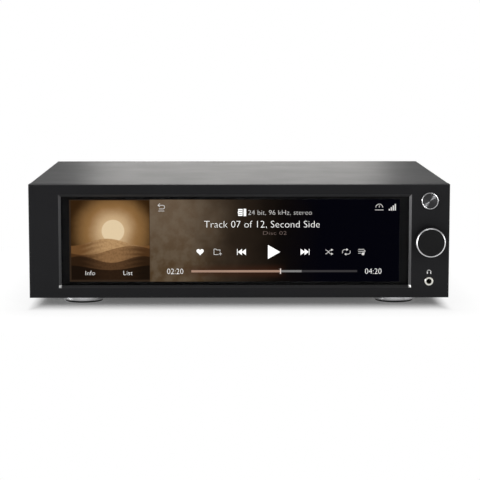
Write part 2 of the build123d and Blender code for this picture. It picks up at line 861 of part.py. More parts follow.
# Power button: a turned cap with a flange behind the panel's shoulder and a stem to its switch
flange_front_y = front_y + button_shoulder + button_gap
flange_back_y = flange_front_y + button_flange_thickness
switch_front_y = control_board_y - switch_depth
plunger_front_y = switch_front_y - plunger_stand
with BuildPart() as power_button:
    with BuildSketch(facing_front(controls_x, flange_front_y, button_z)):
        Circle(button_radius)
    extrude(amount=flange_front_y - front_y + button_proud)
    chamfer(power_button.faces().sort_by(Axis.Y)[0].edges(), button_rim)
    with BuildSketch(facing_front(controls_x, flange_back_y, button_z)):
        Circle(button_flange_radius)
    extrude(amount=button_flange_thickness)
    with BuildSketch(facing_front(controls_x, flange_back_y, button_z)):
        Circle(stem_radius)
    extrude(amount=-(plunger_front_y - flange_back_y))
save(power_button, "power_button")

with BuildPart() as button_guide:
    with BuildSketch(facing_front(controls_x, panel_back_y, button_z)):
        Circle(guide_radius - thread_gap)
        Circle(stem_radius + guide_gap_radius, mode=Mode.SUBTRACT)
    extrude(amount=guide_thickness)
save(button_guide, "button_guide")

with BuildPart() as tact_switch:
    with BuildSketch(facing_front(controls_x, control_board_y, button_z)):
        Rectangle(switch_side, switch_side)
    extrude(amount=switch_depth)
    with BuildSketch(facing_front(controls_x, switch_front_y, button_z)):
        Circle(plunger_radius + guide_gap_radius)
    extrude(amount=-(plunger_sunk + button_travel + guide_gap_radius), mode=Mode.SUBTRACT)
save(tact_switch, "tact_switch")

with BuildPart() as switch_plunger:
    with BuildSketch(facing_front(controls_x, plunger_front_y, button_z)):
        Circle(plunger_radius)
    extrude(amount=-(plunger_stand + plunger_sunk))
save(switch_plunger, "switch_plunger")

# Headphone socket: a gold sleeve with its ring in the panel, in a plastic body on the board
with BuildPart() as headphone_sleeve:
    with BuildSketch(facing_front(controls_x, front_y + jack_ring_depth, jack_z)):
        Circle(jack_ring_radius)
    extrude(amount=jack_ring_depth + jack_ring_proud)
    chamfer(headphone_sleeve.faces().sort_by(Axis.Y)[0].edges(), jack_ring_proud / 2)
    with BuildSketch(facing_front(controls_x, front_y + jack_ring_depth, jack_z)):
        Circle(jack_tube_radius)
    extrude(amount=-(jack_depth - jack_ring_depth))
    with BuildSketch(facing_front(controls_x, front_y - jack_ring_proud, jack_z)):
        Circle(jack_bore_radius)
    extrude(amount=-(jack_depth + jack_ring_proud), mode=Mode.SUBTRACT)
save(headphone_sleeve, "headphone_sleeve")

with BuildPart() as headphone_body:
    with BuildSketch(facing_front(controls_x, front_y + jack_ring_depth, jack_z)):
        Rectangle(jack_body_width, jack_body_height)
    extrude(amount=-(control_board_y - front_y - jack_ring_depth))
    with BuildSketch(facing_front(controls_x, front_y + jack_ring_depth, jack_z)):
        Circle(jack_tube_radius + thread_gap)
    extrude(amount=-(jack_depth - jack_ring_depth), mode=Mode.SUBTRACT)
save(headphone_body, "headphone_body")

plate(
    "control_board",
    facing_rear(controls_x, control_board_y, mid_z),
    control_board_width,
    panel_height - 2 * control_board_inset,
    board_thickness,
    [(0, encoder_height)],
    small_screw_radius,
)

# Boards on the floor: main board, audio board and supply board, each on four standoffs
coil_y = panel_back_y + coil_setback
supply_board_rear_y = board_rear_y - supply_board_setback
supply_board_depth = supply_board_rear_y - coil_y - coil_radius - supply_board_gap
main_size = (main_board_width, main_board_depth)
audio_size = (audio_zone - 2 * board_side_gap, audio_board_depth)
supply_size = (supply_zone - 2 * board_side_gap, supply_board_depth)
main_place = (main_board_x, board_rear_y - main_board_depth / 2)
audio_place = (audio_mid_x, board_rear_y - audio_board_depth / 2)
supply_place = (supply_mid_x, supply_board_rear_y - supply_board_depth / 2)

port_face_y = rear_face_y + socket_proud
port_row_inset = board_rear_y - port_face_y + lan_depth + screw_head_radius + socket_gap
standoff_spots = []
for name, size, place, far_inset in (
    ("main_board", main_size, main_place, port_row_inset),
    ("audio_board", audio_size, audio_place, board_hole_inset),
    ("supply_board", supply_size, supply_place, board_hole_inset),
):
    spots = corner_spots(*size, far_inset)
    board_plane = facing_up(place[0], place[1], board_bottom_z)
    plate(name, board_plane, size[0], size[1], board_thickness, spots, screw_radius + screw_gap)
    standoff_spots += [(place[0] + x, place[1] + y) for x, y in spots]

with BuildPart() as standoffs:
    with BuildSketch(facing_up(0, 0, base_top_z)):
        with Locations(*standoff_spots):
            RegularPolygon(standoff_radius, 6)
            Circle(screw_radius + thread_gap, mode=Mode.SUBTRACT)
    extrude(amount=standoff_height)
save(standoffs, "standoffs")

head_screws(
    "board_screws",
    [facing_up(x, y, board_top_z) for x, y in standoff_spots],
    board_thickness + screw_reach,
    screw_radius,
    screw_head_radius,
    screw_head_height,
    screw_key_radius,
    screw_key_depth,
)

# Processor and its finned heat sink, on the main board
sink_place = (main_board_x, board_rear_y - sink_setback - sink_side / 2)
chip_top_z = board_top_z + chip_height
fin_count = int((sink_side - sink_fin) / sink_fin_spacing) + 1
with BuildPart() as processor:
    with BuildSketch(facing_up(*sink_place, board_top_z)):
        Rectangle(chip_side, chip_side)
    extrude(amount=chip_height)
save(processor, "processor")

with BuildPart() as heat_sink:
    with BuildSketch(facing_up(*sink_place, chip_top_z)):
        Rectangle(sink_side, sink_side)
    extrude(amount=sink_base)
    with BuildSketch(facing_up(*sink_place, chip_top_z + sink_base)):
        with GridLocations(sink_fin_spacing, 0, fin_count, 1):
            Rectangle(sink_fin, sink_side)
    extrude(amount=sink_height - sink_base)
save(heat_sink, "heat_sink")

# Shield can over the audio converter
with BuildPart() as audio_shield:
    with BuildSketch(facing_up(audio_mid_x, board_rear_y - shield_setback, board_top_z)):
        RectangleRounded(shield_width, shield_depth, shield_corner)
    extrude(amount=shield_height)
    fillet(audio_shield.faces().sort_by(Axis.Z)[-1].edges(), shield_corner / 2)
    with BuildSketch(facing_up(audio_mid_x, board_rear_y - shield_setback, board_top_z)):
        Rectangle(shield_width - 2 * tray_sheet, shield_depth - 2 * tray_sheet)
    extrude(amount=shield_height - tray_sheet, mode=Mode.SUBTRACT)
save(audio_shield, "audio_shield")

# Ring transformer, clamped to the floor by a dished washer and its bolt
with BuildPart() as transformer:
    with BuildSketch(facing_front(supply_mid_x, coil_y, 0)):
        with Locations(((coil_radius + coil_hole_radius) / 2, base_top_z + coil_height / 2)):
            RectangleRounded(coil_radius - coil_hole_radius, coil_height, coil_corner)
    revolve(axis=Axis((supply_mid_x, coil_y, 0), (0, 0, 1)))
save(transformer, "transformer")

with BuildPart() as transformer_clamp:
    with BuildSketch(facing_up(supply_mid_x, coil_y, base_top_z + coil_height)):
        Circle(clamp_radius)
    extrude(amount=clamp_thickness)
    with BuildSketch(facing_up(supply_mid_x, coil_y, base_top_z)):
        Circle(clamp_bolt_radius)
    extrude(amount=coil_height)
    with BuildSketch(facing_up(supply_mid_x, coil_y, base_top_z + coil_height + clamp_thickness)):
        RegularPolygon(clamp_head_radius, 6)
    extrude(amount=clamp_head_height)
save(transformer_clamp, "transformer_clamp")

capacitor_step = 2 * capacitor_radius + capacitor_gap
with BuildPart() as capacitors:
    with BuildSketch(facing_up(*supply_place, board_top_z)):
        with GridLocations(capacitor_step, capacitor_step, 3, 2):
            Circle(capacitor_radius)
    extrude(amount=capacitor_height)
    fillet(capacitors.faces().group_by(Axis.Z)[-1].edges(), capacitor_rim)
save(capacitors, "capacitors")


# Rear sockets on the main board: network, double USB, digital video and optical
def port_block(x, width, height, depth):
    """The outline of a board socket: its plane on the board's level, and its block's size."""
    return facing_rear(x, port_face_y, board_top_z + height / 2), width, height, depth


lan_plane, *lan_size = port_block(lan_x, lan_width, lan_height, lan_depth)
lan_drop = lan_floor + lan_mouth_height / 2 - lan_height / 2
with BuildPart() as lan_port:
    with BuildSketch(lan_plane):
        Rectangle(lan_size[0], lan_size[1])
    extrude(amount=-lan_size[2])
    with BuildSketch(lan_plane):
        with Locations((0, lan_drop)):
            Rectangle(lan_mouth_width, lan_mouth_height)
        with Locations((0, lan_drop + lan_mouth_height / 2)):
            Rectangle(lan_latch_width, 2 * lan_latch_height)
    extrude(amount=-lan_mouth_depth, mode=Mode.SUBTRACT)
save(lan_port, "lan_port")

usb_step = usb_mouth_height + usb_web
usb_plane, *usb_size = port_block(usb_x, usb_width, usb_height, usb_depth)
with BuildPart() as usb_port:
    with BuildSketch(usb_plane):
        Rectangle(usb_size[0], usb_size[1])
    extrude(amount=-usb_size[2])
    with BuildSketch(usb_plane):
        with GridLocations(0, usb_step, 1, 2):
            Rectangle(usb_mouth_width, usb_mouth_height)
    extrude(amount=-usb_mouth_depth, mode=Mode.SUBTRACT)
    with BuildSketch(usb_plane.offset(-usb_mouth_depth)):
        with Locations((0, usb_tongue_height / 2)):
            with GridLocations(0, usb_step, 1, 2):
                Rectangle(usb_tongue_width, usb_tongue_height)
    extrude(amount=usb_mouth_depth - socket_proud)
save(usb_port, "usb_port")

video_plane, *video_size = port_block(video_x, video_width, video_height, video_depth)
with BuildPart() as video_port:
    with BuildSketch(video_plane):
        Rectangle(video_size[0], video_size[1])
    extrude(amount=-video_size[2])
    with BuildSketch(video_plane) as video_mouth:
        Rectangle(video_mouth_width, video_mouth_height)
        chamfer(video_mouth.vertices().group_by(Axis.Y)[0], video_corner)
    extrude(amount=-video_mouth_depth, mode=Mode.SUBTRACT)
    with BuildSketch(video_plane.offset(-video_mouth_depth)):
        Rectangle(video_tongue_width, video_tongue_height)
    extrude(amount=video_mouth_depth - socket_proud)
save(video_port, "video_port")

# The optical socket's shutter hangs from two short pins at the top of the mouth
optical_plane, *optical_size = port_block(optical_x, optical_width, optical_height, optical_depth)
optical_mid_z = board_top_z + optical_height / 2
shutter_axis_z = optical_mid_z + optical_mouth / 2 - shutter_barrel_radius - shutter_gap
shutter_y = port_face_y - shutter_setback
shutter_width = optical_mouth - 2 * shutter_gap
side_planes = [
    facing_left(optical_x - shutter_width / 2, shutter_y, shutter_axis_z),
    facing_right(optical_x + shutter_width / 2, shutter_y, shutter_axis_z),
]
with BuildPart() as optical_port:
    with BuildSketch(optical_plane):
        Rectangle(optical_size[0], optical_size[1])
    extrude(amount=-optical_size[2])
    with BuildSketch(optical_plane):
        Rectangle(optical_mouth, optical_mouth)
    extrude(amount=-optical_mouth_depth, mode=Mode.SUBTRACT)
    with BuildSketch(*side_planes):
        Circle(shutter_pin_radius + shaft_fit)
    extrude(amount=shutter_pin_length + trunnion_end_gap, mode=Mode.SUBTRACT)
save(optical_port, "optical_port")

shutter_low_z = optical_mid_z - optical_mouth / 2 + shutter_gap
shutter_rise = shutter_axis_z - shutter_low_z
with BuildPart() as optical_shutter:
    with BuildSketch(facing_rear(optical_x, shutter_y + shutter_thickness / 2, shutter_axis_z)):
        with Locations((0, -shutter_rise / 2)):
            Rectangle(shutter_width, shutter_rise)
    extrude(amount=-shutter_thickness)
    with BuildSketch(side_planes[0]):
        Circle(shutter_barrel_radius)
    extrude(amount=-shutter_width)
    with BuildSketch(*side_planes):
        Circle(shutter_pin_radius)
    extrude(amount=shutter_pin_length)
save(optical_shutter, "optical_shutter")


def phono_jacks(name, seats):
    """Gold phono sockets: a hexagonal flange on the panel, a barrel outside and a thread inside."""
    with BuildPart() as jacks:
        with BuildSketch(*seats):
            Circle(rca_radius)
        extrude(amount=rca_proud)
        with BuildSketch(*seats):
            RegularPolygon(rca_flange_radius, 6)
        extrude(amount=rca_flange_thickness)
        with BuildSketch(*seats):
            Circle(rca_thread_radius)
        extrude(amount=-rca_depth)
        with BuildSketch(*[seat.offset(-rca_depth) for seat in seats]):
            Circle(rca_bore_radius)
        extrude(amount=rca_depth + rca_proud, mode=Mode.SUBTRACT)
    save(jacks, name)


def phono_insulators(name, seats):
    """The plastic cores of the phono sockets, each with the hole of its centre contact."""
    with BuildPart() as cores:
        with BuildSketch(*[seat.offset(-rca_depth) for seat in seats]):
            Circle(rca_bore_radius - rca_fit)
        extrude(amount=rca_depth + rca_proud - rca_recess)
        with BuildSketch(*[seat.offset(rca_proud - rca_recess) for seat in seats]):
            Circle(rca_contact_radius)
        extrude(amount=-rca_contact_depth, mode=Mode.SUBTRACT)
    save(cores, name)


phono_jacks("line_out_jacks", line_out_seats)
phono_jacks("line_in_jacks", line_in_seats)
phono_jacks("coax_jack", [coax_seat])
phono_insulators("red_insulators", [line_out_seats[0], line_in_seats[0]])
phono_insulators("white_insulators", [line_out_seats[1], line_in_seats[1]])
phono_insulators("coax_insulator", [coax_seat])

# Mains inlet: a flanged moulding with a three-pin socket
inlet_face = inlet_seat.offset(inlet_flange_thickness)
with BuildPart() as mains_inlet:
    with BuildSketch(inlet_seat):
        RectangleRounded(inlet_flange_width, inlet_flange_height, inlet_flange_corner)
    extrude(amount=inlet_flange_thickness)
    with BuildSketch(inlet_seat):
        Rectangle(inlet_body_width, inlet_body_height)
    extrude(amount=-inlet_body_depth)
    with BuildSketch(inlet_face) as inlet_mouth:
        Rectangle(inlet_mouth_width, inlet_mouth_height)
        chamfer(inlet_mouth.vertices().group_by(Axis.Y)[-1], inlet_corner)
    extrude(amount=-inlet_mouth_depth, mode=Mode.SUBTRACT)
    with Locations(*[seat.offset(inlet_flange_thickness) for seat in inlet_screw_seats]):
        Hole(screw_radius + screw_gap, depth=inlet_flange_thickness)
save(mains_inlet, "mains_inlet")

pin_root = inlet_face.offset(-inlet_mouth_depth)
pin_spots = [
    (-inlet_pin_spread, -inlet_pin_drop),
    (inlet_pin_spread, -inlet_pin_drop),
    (0, inlet_pin_drop),
]
with BuildPart() as inlet_pins:
    with BuildSketch(pin_root):
        with Locations(*pin_spots):
            Rectangle(inlet_pin_width, inlet_pin_height)
    extrude(amount=inlet_mouth_depth - inlet_pin_short)
save(inlet_pins, "inlet_pins")

# Mains switch: the rocker turns on two trunnions in a housing with a round hollow
pivot_y = rear_face_y + rocker_bezel_thickness - rocker_pivot_depth
hollow_radius = rocker_radius + rocker_gap
rocker_sides = [
    facing_left(rocker_x - rocker_width / 2, pivot_y, inlet_z),
    facing_right(rocker_x + rocker_width / 2, pivot_y, inlet_z),
]
with BuildPart() as rocker_housing:
    with BuildSketch(rocker_seat):
        RectangleRounded(rocker_bezel_width, rocker_bezel_height, rocker_bezel_corner)
    extrude(amount=rocker_bezel_thickness)
    with BuildSketch(rocker_seat):
        Rectangle(rocker_body_width, rocker_body_height)
    extrude(amount=-rocker_body_depth)
    with BuildSketch(rocker_sides[0].offset(rocker_gap)):
        Circle(hollow_radius)
    extrude(amount=-(rocker_width + 2 * rocker_gap), mode=Mode.SUBTRACT)
    with BuildSketch(*rocker_sides):
        Circle(trunnion_radius + trunnion_fit)
    extrude(amount=trunnion_length + trunnion_end_gap, mode=Mode.SUBTRACT)
save(rocker_housing, "rocker_housing")

# The rocker's outer face is a shallow V, and at rest its upper half lies level with the bezel
tilt = math.radians(rocker_tilt)
rocker_plane = Plane(
    origin=(rocker_x - rocker_width / 2, pivot_y, inlet_z),
    x_dir=(0, math.cos(tilt), math.sin(tilt)),
    z_dir=(1, 0, 0),
)
vee_reach = 2 * rocker_radius
vee_rise = vee_reach * math.tan(tilt)
with BuildPart() as rocker:
    with BuildSketch(rocker_plane):
        Circle(rocker_radius)
        with BuildLine():
            Polyline(
                (rocker_face, 0),
                (rocker_face + vee_rise, vee_reach),
                (vee_reach, vee_reach),
                (vee_reach, -vee_reach),
                (rocker_face + vee_rise, -vee_reach),
                close=True,
            )
        make_face(mode=Mode.SUBTRACT)
    extrude(amount=rocker_width)
    with BuildSketch(*rocker_sides):
        Circle(trunnion_radius)
    extrude(amount=trunnion_length)
save(rocker, "rocker")
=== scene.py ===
# %% [markdown]
# # A desktop network music streamer
# The packed model is the fixed frame: a black aluminium case with a wide bevelled window, a power
# button, a volume knob and a headphone socket in front, and its sockets behind. This script gives
# every piece its finish, adds the lit picture, the printed signs and the fine contacts, and then
# lights and photographs the streamer on a white table.

# %% Load the frame and measure it
import math

import bmesh
import bpy
import numpy as np
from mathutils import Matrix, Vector


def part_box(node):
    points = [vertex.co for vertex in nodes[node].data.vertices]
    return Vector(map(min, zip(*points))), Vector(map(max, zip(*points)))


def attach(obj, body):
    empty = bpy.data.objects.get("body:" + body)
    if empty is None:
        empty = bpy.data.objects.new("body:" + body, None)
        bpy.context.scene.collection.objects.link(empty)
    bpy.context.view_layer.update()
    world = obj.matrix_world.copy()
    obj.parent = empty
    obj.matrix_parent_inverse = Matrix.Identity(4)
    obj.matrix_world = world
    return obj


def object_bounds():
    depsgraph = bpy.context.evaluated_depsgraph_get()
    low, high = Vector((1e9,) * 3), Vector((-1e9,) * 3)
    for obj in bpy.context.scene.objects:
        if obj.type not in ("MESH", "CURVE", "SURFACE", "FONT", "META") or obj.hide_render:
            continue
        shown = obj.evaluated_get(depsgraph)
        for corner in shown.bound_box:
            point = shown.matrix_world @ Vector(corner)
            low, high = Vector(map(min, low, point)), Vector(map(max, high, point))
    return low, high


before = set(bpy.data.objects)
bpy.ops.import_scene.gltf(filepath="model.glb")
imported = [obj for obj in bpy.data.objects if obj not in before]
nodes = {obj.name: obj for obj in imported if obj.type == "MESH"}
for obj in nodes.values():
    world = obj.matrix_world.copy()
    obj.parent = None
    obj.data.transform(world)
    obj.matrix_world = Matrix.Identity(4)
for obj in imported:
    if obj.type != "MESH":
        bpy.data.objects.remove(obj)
cad_box = [list(corner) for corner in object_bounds()]
MM = 0.001


def node_box(name):
    """The lowest and highest corner of a node at rest, as two arrays in metres."""
    low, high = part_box(name)
    return np.array(low), np.array(high)


def node_middle(name):
    """The middle of a node's box: half the sum of its two corners."""
    low, high = node_box(name)
    return (low + high) / 2


panel_low, panel_high = node_box("front_panel")
mid_z = (panel_low[2] + panel_high[2]) / 2
print("panel", np.round((panel_high - panel_low) / MM, 1), "nodes", len(nodes))

# %% [markdown]
# ## Shapes from arrays
# Every new piece is a thin plate, a stroke or a band. Each can be drawn by hand in Blender, but a
# formula keeps the sizes real, so small functions return vertices and faces as arrays, and one
# function joins such shapes into a mesh. Local x and y lie in the plane of the drawing, and depth
# runs from 0 at the back to the front. A spot, which is an origin with three axes of a millimetre,
# then lays the drawing on the object.

# %% Plates and strokes as vertices and faces
SHORTEST_LEAN = 0.5


def plate(outline, depth, floor=0.0):
    """A flat plate: the outline twice, at the floor and at the floor plus the depth, and its rim."""
    outline = np.asarray(outline, float)
    count = len(outline)
    back = np.column_stack([outline, np.full(count, floor)])
    front = np.column_stack([outline, np.full(count, floor + depth)])
    ring = np.arange(count)
    after = (ring + 1) % count
    rim = np.column_stack([ring, after, after + count, ring + count])
    caps = [list(ring[::-1]), list(ring + count)]
    return np.vstack([back, front]), [list(face) for face in rim] + caps


def stroke(path, width, depth, closed=False, floor=0.0):
    """A rectangular section carried along a flat path: each point steps out to both sides by half
    the width, along the mitre of its two runs, at the floor and at the floor plus the depth."""
    path = np.asarray(path, float)
    count = len(path)
    runs = np.roll(path, -1, axis=0) - path
    runs /= np.linalg.norm(runs, axis=1, keepdims=True)
    if closed:
        before = np.roll(runs, 1, axis=0)
    else:
        runs[-1] = runs[-2]
        before = np.vstack([runs[:1], runs[:-1]])
    sides = np.column_stack([-(runs + before)[:, 1], (runs + before)[:, 0]])
    sides /= np.linalg.norm(sides, axis=1, keepdims=True)
    lean = np.abs(sides[:, 0] * -runs[:, 1] + sides[:, 1] * runs[:, 0])
    sides *= (width / 2 / np.maximum(lean, SHORTEST_LEAN))[:, None]
    corners = [
        (path + sides, floor),
        (path + sides, floor + depth),
        (path - sides, floor + depth),
        (path - sides, floor),
    ]
    points = np.vstack([np.column_stack([side, np.full(count, level)]) for side, level in corners])
    spans = np.arange(count if closed else count - 1)
    after = (spans + 1) % count
    faces = []
    for edge in range(4):
        here, other = edge * count, (edge + 1) % 4 * count
        faces += np.column_stack([here + spans, other + spans, other + after, here + after]).tolist()
    if not closed:
        ends = np.arange(4) * count
        faces += [ends[::-1].tolist(), (ends + count - 1).tolist()]
    return points, faces


print("a stroke of two points has", len(stroke([(0, 0), (1, 0)], 0.1, 0.1)[1]), "faces")

# %% Outlines, and several shapes as one


def arc(centre, radius, start, end, steps):
    """Points on a circle's arc, from the start angle to the end angle in degrees."""
    angles = np.radians(np.linspace(start, end, steps + 1))
    return np.column_stack([centre[0] + radius * np.cos(angles), centre[1] + radius * np.sin(angles)])


def rectangle(centre, width, height):
    """The four corners of a rectangle, anticlockwise."""
    half = np.array([width, height]) / 2
    return np.array([(-1, -1), (1, -1), (1, 1), (-1, 1)]) * half + np.asarray(centre)


def rounded_bar(centre, width, height):
    """A lying bar with half-round ends."""
    reach = (width - height) / 2
    left = arc((centre[0] - reach, centre[1]), height / 2, 90, 270, 8)
    right = arc((centre[0] + reach, centre[1]), height / 2, -90, 90, 8)
    return np.vstack([left, right])


def standing_bar(centre, width, height):
    """A standing bar with half-round ends: a lying one with its x and y exchanged."""
    return rounded_bar((0, 0), height, width)[::-1, ::-1] + centre


def joined(shapes):
    """Several shapes as one: the faces of each are renumbered past the vertices before them."""
    points, faces, start = [], [], 0
    for shape_points, shape_faces in shapes:
        points.append(shape_points)
        faces += [[index + start for index in face] for face in shape_faces]
        start += len(shape_points)
    return np.vstack(points), faces


print("a rounded bar has", len(rounded_bar((0, 0), 2, 1)), "points")

# %% Laying a drawing on the object
FRONT_AXES = ((MM, 0, 0), (0, 0, MM), (0, -MM, 0))
REAR_AXES = ((-MM, 0, 0), (0, 0, MM), (0, MM, 0))
INWARD_AXES = ((-MM, 0, 0), (0, -MM, 0), (0, 0, MM))
SIDEWAYS_AXES = ((0, -MM, 0), (0, 0, MM), (MM, 0, 0))


def make_piece(name, shape, spot, finish, body="case"):
    """Turns a shape into a mesh object, and lets it ride. Its spot is an origin and three axes, and
    a point lies at the origin plus x, y and depth times those axes. Shapes have their faces outward,
    so axes that mirror them, which have a negative determinant, need each face turned round."""
    points, faces = shape
    origin, axes = spot
    if np.linalg.det(axes) < 0:
        faces = [face[::-1] for face in faces]
    mesh = bpy.data.meshes.new(name)
    mesh.from_pydata((np.array(origin) + points @ np.array(axes)).tolist(), [], faces)
    piece = bpy.data.objects.new(name, mesh)
    bpy.context.scene.collection.objects.link(piece)
    mesh.materials.append(finish.material)
    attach(piece, body)
    print("piece", name, "of", len(faces), "faces on", body)


print("a piece may face front, back, inward or sideways")

# %% Plain lettering
CAPITAL_SHARE = 0.69
LETTER_STEPS = 3
LETTER_WELD = 0.0001


def lettering(words, height, depth, width=None, thinner=0.0):
    """Plain lettering about the origin: its capitals are as high as asked, because a letter's size
    is multiplied by height over the capitals' share, and it may be fitted to a width. Which way its
    faces look is settled while the letters are thick, because Blender can err on thin sheets."""
    curve = bpy.data.curves.new("words", "FONT")
    curve.body = words
    curve.extrude = 0.5
    curve.offset = -thinner
    curve.resolution_u = LETTER_STEPS
    source = bpy.data.objects.new("words", curve)
    bpy.context.scene.collection.objects.link(source)
    bpy.context.view_layer.update()
    drawn = source.evaluated_get(bpy.context.evaluated_depsgraph_get())
    flat = bpy.data.meshes.new_from_object(drawn)
    work = bmesh.new()
    work.from_mesh(flat)
    bmesh.ops.remove_doubles(work, verts=work.verts, dist=LETTER_WELD)
    bmesh.ops.recalc_face_normals(work, faces=work.faces)
    work.verts.index_update()
    points = np.array([vertex.co[:] for vertex in work.verts])
    faces = [[corner.index for corner in face.verts] for face in work.faces]
    work.free()
    bpy.data.objects.remove(source)
    bpy.data.meshes.remove(flat)
    points[:, :2] *= height / CAPITAL_SHARE
    span = np.ptp(points[:, 0])
    if width:
        points[:, 0] *= width / span
        span = width
    points[:, 0] -= points[:, 0].min() + span / 2
    points[:, 1] -= height / 2
    points[:, 2] = (points[:, 2] + 0.5) * depth
    return points, faces


print("capitals take", CAPITAL_SHARE, "of a letter's size")

# %% [markdown]
# ## Shared effects
# Grain, worn edges, turned rings and drawn lines show on many finishes. Each is a node group with
# named inputs, built once, and it puts out only masks and heights that change over the surface.
# The shader itself stays in each material, so that every finish sets its own values on it.

# %% Wiring: adding and linking nodes
MIX_FIRST, MIX_SECOND, MIX_COLOUR = 6, 7, 2


class Wiring:
    """Adds and links shader nodes in one tree, so that a recipe reads from top to bottom."""

    def __init__(self, tree):
        self.nodes, self.links = tree.nodes, tree.links

    def put(self, given, socket):
        """Links another socket to an input, or sets the input to a plain value or colour."""
        if isinstance(given, bpy.types.NodeSocket):
            self.links.new(given, socket)
        else:
            socket.default_value = (*given, 1.0) if socket.type == "RGBA" else given

    def add(self, kind, inputs=(), **settings):
        """A new node with its settings, and its inputs in order or by name or number."""
        node = self.nodes.new(kind)
        for key, value in settings.items():
            setattr(node, key, value)
        for key, given in inputs.items() if isinstance(inputs, dict) else enumerate(inputs):
            self.put(given, node.inputs[key])
        return node

    def math(self, operation, first, second=0.0, third=0.0, clamp=False):
        """One sum on values or sockets."""
        settings = {"operation": operation, "use_clamp": clamp}
        return self.add("ShaderNodeMath", (first, second, third), **settings).outputs[0]

    def vector(self, operation, *given):
        """One sum on vectors; a dot product and a length come out as a value."""
        node = self.add("ShaderNodeVectorMath", given, operation=operation)
        return node.outputs["Value" if operation in ("DOT_PRODUCT", "LENGTH") else 0]

    def smooth(self, value, low, high, start=0.0, end=1.0):
        """A smooth step: start below low, end above high."""
        inputs = (value, low, high, start, end)
        return self.add("ShaderNodeMapRange", inputs, interpolation_type="SMOOTHSTEP").outputs[0]

    def mix(self, share, first, second):
        """A mix of two colours: the first times one minus the share, plus the second times it."""
        inputs = {0: share, MIX_FIRST: first, MIX_SECOND: second}
        return self.add("ShaderNodeMix", inputs, data_type="RGBA").outputs[MIX_COLOUR]

    def noise(self, place, scale, detail, roughness=0.5):
        """Fractal noise about one half at each place."""
        inputs = {"Vector": place, "Scale": scale, "Detail": detail, "Roughness": roughness}
        return self.add("ShaderNodeTexNoise", inputs).outputs["Fac"]

    def place(self, kind="Object"):
        """The point on the piece, in metres."""
        return self.add("ShaderNodeTexCoord").outputs[kind]

    def place_mm(self):
        """The point on the piece, in millimetres."""
        inputs = {0: self.place(), "Scale": 1 / MM}
        return self.add("ShaderNodeVectorMath", inputs, operation="SCALE").outputs[0]

    def axes(self, kind="Object"):
        """The x, y and z of the point as three values."""
        return self.add("ShaderNodeSeparateXYZ", [self.place(kind)]).outputs

    def apart(self, value, middle):
        """How far a value is from a middle, to either side."""
        return self.math("ABSOLUTE", self.math("SUBTRACT", value, middle))

    def above(self, value, level):
        """How far a value is above a level, and 0 below it."""
        return self.math("MAXIMUM", self.math("SUBTRACT", value, level), 0.0)

    def length(self, first, second):
        """The length of two legs at a right angle: the root of the sum of their squares."""
        squares = [self.math("POWER", self.math("ABSOLUTE", leg), 2.0) for leg in (first, second)]
        return self.math("POWER", self.math("ADD", *squares), 0.5)


def effect(name, inputs, outputs):
    """An empty node group with its inputs and float outputs, and the wiring to fill it."""
    tree = bpy.data.node_groups.new(name, "ShaderNodeTree")
    for label, value in inputs.items():
        kind = "NodeSocketVector" if isinstance(value, tuple) else "NodeSocketFloat"
        socket = tree.interface.new_socket(label, in_out="INPUT", socket_type=kind)
        socket.default_value = value
    for label in outputs:
        tree.interface.new_socket(label, in_out="OUTPUT", socket_type="NodeSocketFloat")
    wiring = Wiring(tree)
    print("effect", name, "puts out", outputs)
    return tree, wiring, wiring.add("NodeGroupInput").outputs, wiring.add("NodeGroupOutput").inputs


print("wiring is ready for", len([name for name in vars(Wiring) if name[0] != "_"]), "kinds of step")

# %% Grain: a blasted or moulded surface is a field of tiny pits with slow cloudy changes
grain, wire, given, made = effect("fine_grain", {"Pit": 0.25, "Cloud": 18.0}, ("Pits", "Clouds"))
place_mm = wire.place_mm()
for label, size, detail, roughness in (("Pits", "Pit", 2.0, 0.6), ("Clouds", "Cloud", 3.0, 0.55)):
    per_size = wire.math("DIVIDE", 1.0, given[size])
    wire.links.new(wire.noise(place_mm, per_size, detail, roughness), made[label])

# %% Worn edges: where a rounded normal leaves the flat one, the finish is thinner and brighter
BEND_START, BEND_FULL, FLECKS_PER_METRE = 0.99, 0.80, 900.0
edges, wire, given, made = effect("worn_edges", {"Width": 0.0005, "Breakup": 0.5}, ("Mask",))
rounded = wire.add("ShaderNodeBevel", {"Radius": given["Width"]}, samples=6).outputs[0]
normal = wire.add("ShaderNodeNewGeometry").outputs["Normal"]
bend = wire.smooth(wire.vector("DOT_PRODUCT", rounded, normal), BEND_START, BEND_FULL)
flecks = wire.noise(wire.place(), FLECKS_PER_METRE, 3.0)
kept = wire.math("SUBTRACT", 1.0, wire.math("MULTIPLY", given["Breakup"], flecks))
wire.links.new(wire.math("MULTIPLY", bend, kept), made["Mask"])

# %% Turned rings: a lathe leaves rings about its axis, here any axis along Y or Z
rings, wire, given, made = effect(
    "turned_rings",
    {"Centre": (0.0, 0.0, 0.0), "Keep": (1.0, 0.0, 1.0), "Step": 0.12},
    ("Height", "Radius"),
)
arm = wire.vector("SUBTRACT", wire.place(), given["Centre"])
radius = wire.vector("LENGTH", wire.vector("MULTIPLY", arm, given["Keep"]))
radius_mm = wire.math("DIVIDE", radius, MM)
turn = wire.math("DIVIDE", radius_mm, given["Step"])
groove = wire.add("ShaderNodeTexNoise", {"W": turn, "Scale": 1.0, "Detail": 2.0}, noise_dimensions="1D")
wire.links.new(groove.outputs["Fac"], made["Height"])
wire.links.new(radius_mm, made["Radius"])

# %% Drawn lines: rolled and brushed metal has long fine lines one way
lines, wire, given, made = effect("drawn_lines", {"Stretch": (1.0, 30.0, 30.0), "Size": 3.0}, ("Lines",))
drawn = wire.vector("MULTIPLY", wire.place_mm(), given["Stretch"])
wire.links.new(wire.noise(drawn, wire.math("DIVIDE", 1.0, given["Size"]), 3.0, 0.6), made["Lines"])

